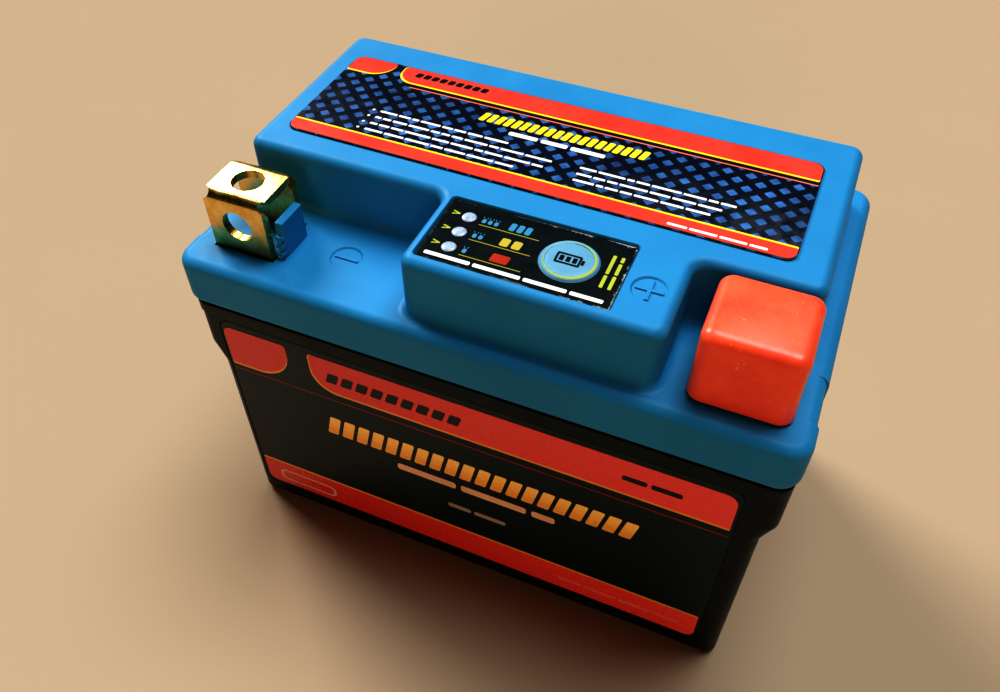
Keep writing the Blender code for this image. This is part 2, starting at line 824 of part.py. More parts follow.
def cell_x(index):
    return (index - (CELL_COUNT - 1) / 2) * CELL_PITCH


def make_cells(paint, parts):
    half_x, half_y = CELL_HALF
    seam = half_x - 0.6
    levels = [
        (CELL_LOW_Z, -0.8, -0.8),
        (CELL_LOW_Z + 0.8, 0.0, 0.0),
        (CELL_TOP_Z - 5.6, 0.0, 0.0),
        (CELL_TOP_Z - 4.6, -1.4, -0.4),
        (CELL_TOP_Z - 3.8, -seam, -1.4),
        (CELL_TOP_Z, -seam, -1.4),
    ]
    for index in range(CELL_COUNT):
        x = cell_x(index)
        place = (parts, paint["pouch"])
        loft(f"cell_{index + 1}", rectangle(half_x, half_y, 1.6, (x, 0.0)), levels, place)
    thin = (CELL_PITCH - 2 * half_x) / 2 - GAP
    for index in range(CELL_COUNT - 1):
        x = cell_x(index) + CELL_PITCH / 2
        block(
            f"cell_spacer_{index + 1}",
            (x - thin, -half_y + 1.0, CELL_LOW_Z + 1.0),
            (x + thin, half_y - 1.0, CELL_TOP_Z - 6.0),
            (parts, paint["foam"]),
        )


def make_tabs(paint, parts):
    """Folded strips that join neighbouring cells on alternate sides, and the two end tabs."""
    place = (parts, paint["nickel"])
    low = CELL_TOP_Z + GAP
    width = 12.0
    upright = Matrix.Rotation(math.radians(90.0), 4, "X")
    half = TAB_SHEET / 2
    for index in range(CELL_COUNT - 1):
        left = cell_x(index)
        right = cell_x(index + 1)
        bridge = [
            (left - half, low), (left + half, low), (left + half, TAB_TOP_Z - TAB_SHEET),
            (right - half, TAB_TOP_Z - TAB_SHEET), (right - half, low), (right + half, low),
            (right + half, TAB_TOP_Z), (left - half, TAB_TOP_Z),
        ]
        side = 1 if index % 2 == 0 else -1
        plate(f"tab_link_{index + 1}", (bridge,), width, place, upright, (0.0, side * TAB_Y, 0.0))
    reach = 7.0
    for name, side in (("end_tab_negative", -1), ("end_tab_positive", 1)):
        x = side * cell_x(CELL_COUNT - 1)
        angle = [
            (x - half, low), (x + half, low), (x + half, TAB_TOP_Z - TAB_SHEET),
            (x + reach, TAB_TOP_Z - TAB_SHEET), (x + reach, TAB_TOP_Z), (x - half, TAB_TOP_Z),
        ]
        if side < 0:
            angle = [(2 * x - px, pz) for px, pz in reversed(angle)]
        plate(name, (angle,), width, place, upright, (0.0, -TAB_Y, 0.0))


def make_balance_board(paint, parts):
    low = TAB_TOP_Z + GAP
    top = low + BOARD_THICKNESS
    block(
        "balance_board",
        (-BALANCE_BOARD_X, BALANCE_BOARD_Y[0], low),
        (BALANCE_BOARD_X, BALANCE_BOARD_Y[1], top),
        (parts, paint["board"]),
        corner=1.5,
        steps=2,
    )
    foot = top + GAP
    block("balance_chip", (-3.5, 8.0, foot), (3.5, 14.0, foot + 1.5), (parts, paint["chip"]))
    for index in range(CELL_COUNT):
        x = cell_x(index) * 0.8
        block(
            f"balance_resistor_{index + 1}",
            (x - 3.2, 0.0, foot),
            (x + 3.2, 3.4, foot + 0.8),
            (parts, paint["chip"]),
        )


def make_wiring(paint, parts):
    leg_y = TERMINAL_BACK_Y - LEG_STEP + GAP
    tab_z = TAB_TOP_Z + GAP + LEAD_RADIUS
    end_x = cell_x(CELL_COUNT - 1) + 3.0
    for name, side, finish in (
        ("negative_lead", -1, "black_wire"),
        ("positive_lead", 1, "red_wire"),
    ):
        stops = [
            (side * TERMINAL_X, leg_y, TERRACE_Z - 5.0),
            (side * TERMINAL_X, leg_y + 3.5, TERRACE_Z - 5.3),
            (side * (TERMINAL_X - 3.5), leg_y + 7.0, TERRACE_Z - 6.4),
            (side * (TERMINAL_X - 10.0), leg_y + 7.0, TERRACE_Z - 8.4),
            (side * (end_x + 6.0), leg_y + 4.5, tab_z + 0.4),
            (side * end_x, leg_y + 3.0, tab_z),
        ]
        wire(name, stops, LEAD_RADIUS, (parts, paint[finish]))
    board_under = BOARD_TOP_Z - BOARD_THICKNESS - GAP
    board_top = TAB_TOP_Z + GAP + BOARD_THICKNESS + GAP
    for name, x, finish in (
        ("indicator_wire_negative", 4.0, "black_wire"),
        ("indicator_wire_positive", 7.0, "red_wire"),
    ):
        stops = [
            (x, -11.5, board_under),
            (x, -11.3, board_under - 5.0),
            (x + 0.5, -8.0, board_under - 11.0),
            (x, -3.6, board_top + 3.0),
            (x, -3.4, board_top),
        ]
        wire(name, stops, WIRE_RADIUS, (parts, paint[finish]), per_span=2)


def make_foam(paint, parts):
    """Blocks that fill the room around and above the cells."""
    place = (parts, paint["foam"])
    wall_x = CASE_X - CASE_WALL - GAP
    wall_y = CASE_Y - CASE_WALL - GAP
    floor = CASE_FLOOR + GAP
    pack_x = -cell_x(0) + CELL_HALF[0] + GAP
    top = CELL_TOP_Z - 1.0
    for name, side in (("foam_left", -1), ("foam_right", 1)):
        low_x, high_x = sorted((side * (pack_x + GAP), side * wall_x))
        low = (low_x, -wall_y, floor)
        block(name, low, (high_x, wall_y, top), place, corner=1.8, steps=2)
    inner_y = CELL_HALF[1] + GAP
    for name, low_y, high_y in (
        ("foam_front", -wall_y, -inner_y),
        ("foam_back", inner_y, wall_y),
    ):
        block(name, (-pack_x, low_y, floor), (pack_x, high_y, top), place)
    base_top = CELL_LOW_Z - GAP
    block("foam_base", (-pack_x, GAP - inner_y, floor), (pack_x, inner_y - GAP, base_top), place)
    block("foam_top", (-40.0, -2.0, 66.0), (40.0, 25.5, ROOF_Z - 0.5), place, corner=2.0, steps=2)


def main():
    empty_scene()
    parts = new_collection(OBJECT_NAME)
    cutters = (new_collection("cutters"), None)
    paint = make_materials()
    make_case((parts, paint["black"]), cutters)
    make_lid((parts, paint["blue"]), cutters)
    make_seal((parts, paint["seal"]))
    make_labels((parts, paint["label"]))
    make_terminal("negative_terminal", -1, (parts, paint["brass"]), cutters)
    make_terminal("positive_terminal", 1, (parts, paint["brass"]), cutters)
    make_cap((parts, paint["cap"]), cutters)
    make_indicator(paint, parts, cutters)
    make_cells(paint, parts)
    make_tabs(paint, parts)
    make_balance_board(paint, parts)
    make_wiring(paint, parts)
    make_foam(paint, parts)


main()
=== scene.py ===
"""The looks of a small lithium motorcycle battery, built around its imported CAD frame.

Sizes in this file are in millimetres and are scaled to metres when a mesh is made. +X runs from the
negative to the positive terminal, +Y to the back and +Z up, with the origin in the middle of the base.
"""

import math
import random

import bmesh
import bpy
from mathutils import Matrix, Vector


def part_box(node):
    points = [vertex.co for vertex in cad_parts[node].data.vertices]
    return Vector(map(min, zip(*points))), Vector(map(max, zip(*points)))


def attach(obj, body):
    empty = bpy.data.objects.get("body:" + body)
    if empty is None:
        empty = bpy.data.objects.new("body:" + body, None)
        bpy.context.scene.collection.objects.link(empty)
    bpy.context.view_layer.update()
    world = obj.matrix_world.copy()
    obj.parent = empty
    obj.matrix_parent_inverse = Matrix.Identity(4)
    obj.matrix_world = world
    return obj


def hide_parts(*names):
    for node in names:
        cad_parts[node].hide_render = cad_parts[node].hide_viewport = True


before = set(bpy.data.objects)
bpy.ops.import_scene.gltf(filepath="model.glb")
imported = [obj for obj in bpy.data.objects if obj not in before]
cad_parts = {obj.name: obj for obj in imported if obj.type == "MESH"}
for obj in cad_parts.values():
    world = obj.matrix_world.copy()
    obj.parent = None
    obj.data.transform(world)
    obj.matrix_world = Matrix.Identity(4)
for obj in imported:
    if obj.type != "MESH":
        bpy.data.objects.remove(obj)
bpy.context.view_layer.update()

MM = 0.001
HOUSING = "housing"


def box_mm(node):
    low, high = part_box(node)
    return low / MM, high / MM


LID_LOW, LID_HIGH = box_mm("lid")
CASE_HIGH = box_mm("case")[1]
CAP_LOW, CAP_HIGH = box_mm("terminal_cap")
FILM_LOW, FILM_HIGH = box_mm("indicator_film")
BUTTON_LOW, BUTTON_HIGH = box_mm("test_button")
FRONT_LABEL_LOW, FRONT_LABEL_HIGH = box_mm("front_label")
TOP_LABEL_LOW, TOP_LABEL_HIGH = box_mm("top_label")
NEGATIVE_LOW, NEGATIVE_HIGH = box_mm("negative_terminal")

# Lid: walls measured inwards and downwards from its box
LID_WALL = 2.0
LID_CORNER = 4.0
SKIRT_ROUND = 2.0
DECK_Z = LID_HIGH.z
TERRACE_Z = DECK_Z - 12.3
TERRACE_THICKNESS = 2.2
DECK_X = LID_HIGH.x - 4.45
DECK_FRONT_Y = LID_LOW.y + 21.9
DECK_BACK_Y = LID_HIGH.y - 5.2
BLOCK_LEFT_X = -12.2
BLOCK_RIGHT_X = 31.7
BLOCK_FRONT_Y = LID_LOW.y + 3.5
DECK_ROUND = 1.8
DECK_FOOT_ROUND = 1.4

# Case: a body that steps out into a band under the lid, and a tongue inside the lid
CASE_X = CASE_HIGH.x - 2.0
CASE_Y = CASE_HIGH.y - 0.8
CASE_CORNER = 2.2
CASE_WALL = 2.0
TONGUE = (-1.9, -1.5)

# Terminals
PLATE = 1.5
FOLD_ROUND = 2.0
LEG_STEP = 0.5
HOLE_RADIUS = 2.95
NOTCH_RADIUS = 1.1
FRONT_HOLE_DROP = 6.1

# Nut stops and end channels of the lid
STOP_X = (37.1, 38.8)
STOP_Y = (-26.1, -19.6)
LEDGE_FRONT_Y = -27.3
LEDGE_BACK_Y = -25.6
LEDGE_PITCH = 1.55
WEB_FRONT_Y = -26.8
CHANNEL_Y = (-27.1, -17.6)
CHANNEL_DEPTH = 0.35

# Charge indicator
FILM_CENTRE = (FILM_LOW + FILM_HIGH) / 2
FILM_HALF = (FILM_HIGH - FILM_LOW) / 2
BUTTON_CENTRE = (BUTTON_LOW + BUTTON_HIGH) / 2
BUTTON_RADIUS = 4.95
WINDOW_RADIUS = 1.3
WINDOWS = {name: sum(box_mm("lens_" + name), Vector()) / 2 for name in ("full", "medium", "low")}

ARC_STEPS = 10
ROUND_STEPS = 8

# Thickness of an ink and heights of the layers of ink over a film
INK = 0.03
ON_FILM = 0.02
ON_FIRST_INK = 0.05
ON_SECOND_INK = 0.08
ON_THIRD_INK = 0.11


# Outlines


def rounded_outline(corners, grow=(0.0, 0.0), steps=ARC_STEPS):
    """An anticlockwise outline whose corners (x, y, radius) are arcs.

    grow moves level and upright edges outwards. Outer corners then widen and inner ones tighten.
    """
    points = []
    count = len(corners)
    for index, (x, y, radius) in enumerate(corners):
        here = Vector((x, y))
        before = (here - Vector(corners[index - 1][:2])).normalized()
        after = (Vector(corners[(index + 1) % count][:2]) - here).normalized()
        bend = before.cross(after)
        turn = 1.0 if bend > 0.0 else -1.0
        if grow != (0.0, 0.0):
            out = Vector((before.y, -before.x)) + Vector((after.y, -after.x))
            here += Vector((out.x * grow[0], out.y * grow[1]))
            radius += turn * min(grow)
        radius = max(0.02, radius)
        angle = math.atan2(abs(bend), before.dot(after))
        inwards = (after - before).normalized()
        centre = here + inwards * radius / math.cos(angle / 2)
        side = Vector((before.y, -before.x)) * turn
        start = math.atan2(side.y, side.x)
        for step in range(steps + 1):
            a = start + turn * angle * step / steps
            points.append((centre.x + radius * math.cos(a), centre.y + radius * math.sin(a)))
    return points


def four_corners(low_x, high_x, low_y, high_y, radii, lean=0.0):
    """Anticlockwise from low left, each with its own radius. The top leans to the right."""
    spots = (
        (low_x, low_y), (high_x, low_y), (high_x + lean, high_y), (low_x + lean, high_y)
    )
    return [(x, y, radius) for (x, y), radius in zip(spots, radii)]


def rectangle(half_x, half_y, radius, centre=(0.0, 0.0)):
    x, y = centre[0], centre[1]
    return four_corners(x - half_x, x + half_x, y - half_y, y + half_y, (radius,) * 4)


def bar(low_x, high_x, low_y, high_y, radius, lean=0.0):
    corners = four_corners(low_x, high_x, low_y, high_y, (radius,) * 4, lean)
    return rounded_outline(corners, steps=3)


def patch(low_x, high_x, low_y, high_y, radii):
    return rounded_outline(four_corners(low_x, high_x, low_y, high_y, radii), steps=12)


def circle(x, y, radius, sides):
    angles = [2 * math.pi * i / sides for i in range(sides)]
    return [(x + radius * math.cos(a), y + radius * math.sin(a)) for a in angles]


def quarter(z, radius, grow, rising):
    """Levels of a quarter round: up to height z when rising, and up from it otherwise."""
    levels = []
    for step in range(ROUND_STEPS + 1):
        angle = (math.pi / 2) * step / ROUND_STEPS
        inset = radius * (1.0 - math.cos(angle))
        climb = radius * (1.0 - math.sin(angle))
        levels.append((z - climb, grow - inset) if rising else (z + climb, grow - inset))
    return levels if rising else levels[::-1]


def even(levels):
    return [(z, grow, grow) for z, grow in levels]


# Meshes


def link(name, mesh):
    made = bpy.data.objects.new(name, mesh)
    bpy.context.scene.collection.objects.link(made)
    return made


def from_bmesh(name, bm):
    bmesh.ops.recalc_face_normals(bm, faces=bm.faces)
    mesh = bpy.data.meshes.new(name)
    bm.to_mesh(mesh)
    bm.free()
    return link(name, mesh)


def stitched(bm, rings):
    """The vertices of rings of points, bottom to top, with a band of faces between each two."""
    rows = [[bm.verts.new(Vector(point) * MM) for point in ring] for ring in rings]
    count = len(rows[0])
    for lower, upper in zip(rows, rows[1:]):
        for i in range(count):
            j = (i + 1) % count
            bm.faces.new((lower[i], lower[j], upper[j], upper[i]))
    return rows


def loft(name, corners, levels):
    """A closed solid through the outlines at levels (z, grow x, grow y), bottom to top."""
    bm = bmesh.new()
    rings = stitched(bm, [
        [(x, y, z) for x, y in rounded_outline(corners, (grow_x, grow_y))]
        for z, grow_x, grow_y in levels
    ])
    bm.faces.new(rings[0][::-1])
    bm.faces.new(rings[-1])
    return from_bmesh(name, bm)


def block(name, low, high, bevel=0.0):
    """A box between two corners, with its edges rounded where a bevel is given."""
    low = Vector(low) * MM
    high = Vector(high) * MM
    bm = bmesh.new()
    bmesh.ops.create_cube(bm, size=1.0)
    bmesh.ops.scale(bm, vec=high - low, verts=bm.verts)
    bmesh.ops.translate(bm, vec=(low + high) / 2, verts=bm.verts)
    if bevel:
        bmesh.ops.bevel(
            bm, geom=bm.edges, offset=bevel * MM, segments=2, profile=0.5, affect="EDGES"
        )
    return from_bmesh(name, bm)


def cylinder(name, centre, axis, radius, length, sides=64):
    bm = bmesh.new()
    bmesh.ops.create_cone(
        bm, cap_ends=True, segments=sides, radius1=radius * MM, radius2=radius * MM,
        depth=length * MM,
    )
    turn = Vector(axis).to_track_quat("Z", "Y").to_matrix().to_4x4()
    place = Matrix.Translation(Vector(centre) * MM) @ turn
    bmesh.ops.transform(bm, matrix=place, verts=bm.verts)
    return from_bmesh(name, bm)


def turned(name, centre, profile, steps=64):
    """A solid of revolution from a profile of (radius, height), top to bottom."""
    bm = bmesh.new()
    rings = []
    for radius, z in profile:
        if radius == 0.0:
            rings.append([bm.verts.new(Vector((centre[0], centre[1], z)) * MM)])
            continue
        ring = circle(centre[0], centre[1], radius, steps)
        rings.append([bm.verts.new(Vector((x, y, z)) * MM) for x, y in ring])
    for upper, lower in zip(rings, rings[1:]):
        for i in range(steps):
            j = (i + 1) % steps
            corners = [upper[i % len(upper)], upper[j % len(upper)],
                       lower[j % len(lower)], lower[i % len(lower)]]
            bm.faces.new(list(dict.fromkeys(corners)))
    return from_bmesh(name, bm)


def evaluated(made):
    """The mesh of an object with its modifiers or its curve worked out."""
    bpy.context.view_layer.update()
    graph = bpy.context.evaluated_depsgraph_get()
    return bpy.data.meshes.new_from_object(made.evaluated_get(graph))


def plate(name, outlines, thickness, place):
    """Flat outlines given a thickness. Outlines inside others are holes."""
    curve = bpy.data.curves.new(name, "CURVE")
    curve.dimensions = "2D"
    curve.fill_mode = "BOTH"
    curve.extrude = thickness * MM / 2
    for outline in outlines:
        spline = curve.splines.new("POLY")
        spline.points.add(len(outline) - 1)
        for point, (x, y) in zip(spline.points, outline):
            point.co = (x * MM, y * MM, 0.0, 1.0)
        spline.use_cyclic_u = True
    guide = link(name + "_curve", curve)
    mesh = evaluated(guide)
    bpy.data.objects.remove(guide, do_unlink=True)
    bm = bmesh.new()
    bm.from_mesh(mesh)
    bpy.data.meshes.remove(mesh)
    bmesh.ops.remove_doubles(bm, verts=bm.verts, dist=1e-7)
    bmesh.ops.transform(bm, matrix=place, verts=bm.verts)
    return from_bmesh(name, bm)


def combine(base, adds=(), cuts=()):
    """base joined with adds and then cut by cuts, which are used up."""
    for tools, operation in ((adds, "UNION"), (cuts, "DIFFERENCE")):
        for tool in tools:
            step = base.modifiers.new(tool.name, "BOOLEAN")
            step.operation = operation
            step.solver = "EXACT"
            step.object = tool
    mesh = evaluated(base)
    base.modifiers.clear()
    base.data = mesh
    for tool in (*adds, *cuts):
        bpy.data.objects.remove(tool, do_unlink=True)
    bm = bmesh.new()
    bm.from_mesh(mesh)
    bmesh.ops.remove_doubles(bm, verts=bm.verts, dist=2e-6)
    bmesh.ops.dissolve_degenerate(bm, edges=bm.edges, dist=1e-6)
    bm.to_mesh(mesh)
    bm.free()
    return base


def finished(made, finish, body=HOUSING, stands_for=(), angle=38.0):
    """Shades a piece, gives it its finish and slot, and lets it ride on its body."""
    made.data.materials.clear()
    made.data.materials.append(finish)
    made.data.shade_smooth()
    made.data.set_sharp_from_angle(angle=math.radians(angle))
    weigh = made.modifiers.new("normals", "WEIGHTED_NORMAL")
    weigh.keep_sharp = True
    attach(made, body)
    if stands_for:
        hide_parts(*stands_for)
    return made


# Finishes


class Finish:
    """A node material that works in object coordinates, with sizes in millimetres."""

    def __init__(self, name, **values):
        self.material = bpy.data.materials.new(name)
        self.material.use_nodes = True
        self.tree = self.material.node_tree
        self.shader = self.tree.nodes["Principled BSDF"]
        self.coordinates = self.node("ShaderNodeTexCoord").outputs["Object"]
        for socket, value in values.items():
            self.shader.inputs[socket.replace("_", " ")].default_value = value

    def node(self, kind, sockets=(), **settings):
        made = self.tree.nodes.new(kind)
        for name, value in settings.items():
            setattr(made, name, value)
        for name, value in dict(sockets).items():
            made.inputs[name].default_value = value
        return made

    def wire(self, source, target):
        self.tree.links.new(source, target)

    def noise(self, size, detail, rough=0.5, stretch=None, distortion=0.0):
        sockets = {"Scale": 1.0 / (size * MM), "Detail": detail, "Roughness": rough}
        made = self.node("ShaderNodeTexNoise", sockets)
        made.inputs["Distortion"].default_value = distortion
        source = self.coordinates
        if stretch:
            mapping = self.node("ShaderNodeMapping", {"Scale": stretch})
            self.wire(source, mapping.inputs["Vector"])
            source = mapping.outputs["Vector"]
        self.wire(source, made.inputs["Vector"])
        return made.outputs["Fac"]

    def cells(self, size, randomness=1.0):
        sockets = {"Scale": 1.0 / (size * MM), "Randomness": randomness}
        made = self.node("ShaderNodeTexVoronoi", sockets)
        self.wire(self.coordinates, made.inputs["Vector"])
        return made.outputs["Distance"]

    def span(self, value, low, high, start=0.0, end=1.0, smooth=False):
        """value mapped from low..high to start..end, and kept inside it."""
        sockets = {"From Min": low, "From Max": high, "To Min": start, "To Max": end}
        kind = "SMOOTHSTEP" if smooth else "LINEAR"
        made = self.node("ShaderNodeMapRange", sockets, interpolation_type=kind)
        self.wire(value, made.inputs["Value"])
        return made.outputs["Result"]

    def flecks(self, low, high, size, detail, rough=0.5, stretch=None):
        """0 where noise of a size is under low and 1 where it is over high."""
        return self.span(self.noise(size, detail, rough, stretch), low, high)

    def cloud(self, size, detail, start=0.0, end=1.0):
        """Soft patches of about a size, running from start to end."""
        return self.span(self.noise(size, detail), 0.3, 0.7, start, end)

    def maths(self, operation, first, second=None, clamp=False):
        made = self.node("ShaderNodeMath", operation=operation, use_clamp=clamp)
        for socket, value in zip(made.inputs, (first, second)):
            if value is None:
                continue
            if isinstance(value, (int, float)):
                socket.default_value = value
            else:
                self.wire(value, socket)
        return made.outputs["Value"]

    def times(self, first, second):
        return self.maths("MULTIPLY", first, second)

    def plus(self, first, second, clamp=False):
        return self.maths("ADD", first, second, clamp)

    def minus(self, first, second):
        return self.maths("SUBTRACT", first, second)

    def axes(self):
        made = self.node("ShaderNodeSeparateXYZ")
        self.wire(self.coordinates, made.inputs["Vector"])
        return made.outputs

    def blend(self, factor, low, high):
        """A colour between low and high, each a linear colour or a colour output."""
        made = self.node("ShaderNodeMix", data_type="RGBA")
        sockets = [s for s in made.inputs if s.type == "RGBA"]
        for socket, value in zip(sockets, (low, high)):
            if isinstance(value, tuple):
                socket.default_value = (*value, 1.0)
            else:
                self.wire(value, socket)
        self.wire(factor, made.inputs["Factor"])
        return next(s for s in made.outputs if s.type == "RGBA")

    def colour(self, factor, low, high):
        self.wire(self.blend(factor, low, high), self.shader.inputs["Base Color"])

    def rough(self, source):
        self.wire(source, self.shader.inputs["Roughness"])

    def bumps(self, *layers):
        """Bump from (height, depth in mm, strength) layers, which completes the material."""
        normal = None
        for height, depth, strength in layers:
            made = self.node("ShaderNodeBump", {"Distance": depth * MM, "Strength": strength})
            self.wire(height, made.inputs["Height"])
            if normal is not None:
                self.wire(normal, made.inputs["Normal"])
            normal = made.outputs["Normal"]
        self.wire(normal, self.shader.inputs["Normal"])
        return self.material

    def edges(self, radius):
        """1 on convex edges and 0 on flats, from how far a rounded normal leans."""
        rounded = self.node("ShaderNodeBevel", {"Radius": radius * MM}, samples=4)
        plain = self.node("ShaderNodeNewGeometry")
        dot = self.node("ShaderNodeVectorMath", operation="DOT_PRODUCT")
        self.wire(rounded.outputs["Normal"], dot.inputs[0])
        self.wire(plain.outputs["Normal"], dot.inputs[1])
        return self.span(self.minus(1.0, dot.outputs["Value"]), 0.02, 0.35)


def moulded_plastic(name, light, dark, roughness, grain, wear):
    """Moulded plastic with a fine spark-eroded grain, rubbed edges and stray scuffs."""
    made = Finish(name, IOR=1.4, Specular_IOR_Level=0.32)
    tint = made.blend(made.cloud(14.0, 4.0), dark, light)
    fine = made.noise(grain, detail=2.0)
    rubbed = made.times(made.edges(0.5), made.flecks(0.42, 0.62, 1.3, 4.0, 0.7))
    scuffs = made.flecks(0.66, 0.74, 0.5, 5.0, 0.6, stretch=(0.12, 1.0, 1.0))
    place = made.flecks(0.55, 0.68, 9.0, 2.0)
    marks = made.times(scuffs, place)
    worn = made.plus(made.times(rubbed, 0.35), made.times(marks, 0.25), clamp=True)
    made.colour(worn, tint, wear)
    even_rough = made.cloud(4.0, 4.0, roughness - 0.05, roughness + 0.07)
    made.rough(made.plus(even_rough, made.times(fine, 0.06)))
    return made.bumps((made.noise(20.0, 1.0), 0.25, 0.25), (fine, 0.02, 0.5), (marks, 0.01, 0.3))


def brass_plate():
    """Plated brass strip: rolled lines, smudges, small scratches, and ragged darkening towards its
    foot.
    """
    made = Finish("brass_plated", Metallic=1.0)
    lines = made.noise(0.12, 3.0, stretch=(1.0, 0.08, 0.08))
    smudge = made.noise(2.6, 5.0, 0.6, distortion=0.4)
    gold = made.blend(made.span(smudge, 0.32, 0.7), (0.72, 0.42, 0.10), (0.93, 0.68, 0.27))
    # Darker and rougher in ragged patches towards the foot, just over the terrace.
    height = made.axes()["Z"]
    low = made.span(height, (TERRACE_Z + 0.5) * MM, (TERRACE_Z + 5.0) * MM, 1.0, 0.0)
    ragged = made.flecks(0.35, 0.7, 1.7, 4.0)
    darkening_low = made.times(low, ragged)
    tone = made.blend(made.times(darkening_low, 0.55), gold, (0.36, 0.21, 0.07))
    spots = made.flecks(0.66, 0.74, 0.55, 4.0, 0.7)
    made.colour(made.times(spots, 0.25), tone, (0.3, 0.14, 0.04))
    scratches = made.flecks(0.62, 0.7, 0.25, 4.0, 0.6, stretch=(0.15, 1.0, 0.6))
    base = made.span(smudge, 0.3, 0.7, 0.2, 0.34)
    made.rough(made.plus(base, made.times(darkening_low, 0.18)))
    return made.bumps((made.noise(3.0, 2.0), 0.06, 0.4), (lines, 0.004, 0.45), (scratches, 0.004, 0.3))


def boot_rubber():
    """Soft dipped vinyl: deep orange-red, glossy, with dimples and painted pale glints on them."""
    made = Finish(
        "boot_vinyl", IOR=1.45, Coat_Weight=0.2, Coat_Roughness=0.22, Subsurface_Weight=0.18,
        Subsurface_Radius=(1.0, 0.25, 0.12), Subsurface_Scale=1.2 * MM,
    )
    base = made.blend(made.cloud(6.0, 4.0), (0.76, 0.085, 0.034), (0.86, 0.135, 0.050))
    # Painted highlights: pale yellowish specks in clusters, standing for light caught by the dimples.
    specks = made.flecks(0.6, 0.72, 0.7, 5.0, 0.65)
    place = made.flecks(0.46, 0.6, 5.0, 2.0)
    painted_glints = made.times(specks, place)
    made.colour(made.times(painted_glints, 0.7), base, (0.98, 0.50, 0.12))
    made.rough(made.cloud(1.1, 4.0, 0.32, 0.46))
    dimples = made.noise(5.0, 2.0)
    return made.bumps((dimples, 0.3, 0.3), (made.noise(0.8, 4.0), 0.03, 0.22), (painted_glints, 0.01, 0.4))


def printed_film(name, colour, other=None, coat=0.1):
    """Printed ink under a clear film, with a faint orange peel and fine rub marks."""
    made = Finish(
        name, IOR=1.42, Coat_Weight=coat, Coat_Roughness=0.12, Specular_IOR_Level=0.4
    )
    other = other or tuple(c * 0.86 for c in colour)
    tone = made.blend(made.cloud(7.0, 4.0), other, colour)
    pits = made.flecks(0.7, 0.78, 0.35, 3.0, 0.6)
    made.colour(made.times(pits, 0.07), tone, (0.6, 0.6, 0.6))
    rubs = made.flecks(0.58, 0.72, 0.3, 4.0, 0.6, stretch=(0.1, 1.0, 1.0))
    base = made.cloud(3.5, 4.0, 0.2, 0.28)
    made.rough(made.plus(base, made.times(rubs, 0.05)))
    return made.bumps((made.noise(2.2, 2.0), 0.03, 0.25), (rubs, 0.002, 0.3))


def graded_ink(name, low_colour, high_colour, low, high, axis):
    """Ink whose colour runs from low to high along an axis, in millimetres."""
    made = Finish(name, IOR=1.5, Coat_Weight=0.25, Coat_Roughness=0.14)
    along = made.span(made.axes()[axis], low * MM, high * MM, smooth=True)
    tone = made.blend(along, low_colour, high_colour)
    cloud = made.cloud(0.6, 3.0, 0.0, 0.12)
    made.colour(cloud, tone, low_colour)
    made.rough(made.cloud(2.5, 4.0, 0.21, 0.34))
    return made.bumps((made.noise(1.2, 2.0), 0.02, 0.25))


def lattice_film(pitch, diamond):
    """A near-black film with staggered rows of small blue diamonds, and a painted grey sheen towards
    its right front corner.
    """
    made = Finish("label_lattice", IOR=1.45, Coat_Weight=0.1, Coat_Roughness=0.12)
    axes = made.axes()
    across = made.maths("DIVIDE", axes["X"], pitch[0] * MM)
    along = made.maths("DIVIDE", axes["Y"], 2 * pitch[1] * MM)
    rising = made.maths("FRACT", made.plus(across, along))
    falling = made.maths("FRACT", made.minus(across, along))
    off_x = made.maths("ABSOLUTE", made.minus(made.plus(rising, falling), 1.0))
    off_y = made.maths("ABSOLUTE", made.minus(rising, falling))
    wide = made.times(off_x, pitch[0] / (2 * diamond[0]))
    tall = made.times(off_y, pitch[1] / diamond[1])
    power = 1.1
    reach = made.plus(made.maths("POWER", wide, power), made.maths("POWER", tall, power))
    gap = made.span(reach, 1.12, 0.88, smooth=True)
    strength = made.span(made.noise(9.0, 3.0), 0.3, 0.62, 0.35, 1.0)
    # Painted sheen: the film turns grey towards its right front corner, in cloudy patches.
    right = made.span(axes["X"], 0.0, 44.0 * MM)
    front = made.span(axes["Y"], 9.0 * MM, -4.0 * MM)
    cloud = made.flecks(0.35, 0.6, 2.4, 4.0)
    painted_sheen = made.times(made.times(right, front), cloud)
    dark = made.blend(made.times(painted_sheen, 0.6), (0.004, 0.008, 0.020), (0.07, 0.075, 0.085))
    shade = made.cloud(1.6, 3.0)
    blue = made.blend(shade, (0.035, 0.12, 0.32), (0.075, 0.23, 0.52))
    made.colour(made.times(gap, strength), dark, blue)
    made.rough(made.cloud(3.0, 4.0, 0.18, 0.26))
    return made.bumps((made.noise(2.2, 2.0), 0.03, 0.25), (gap, 0.004, 0.25))


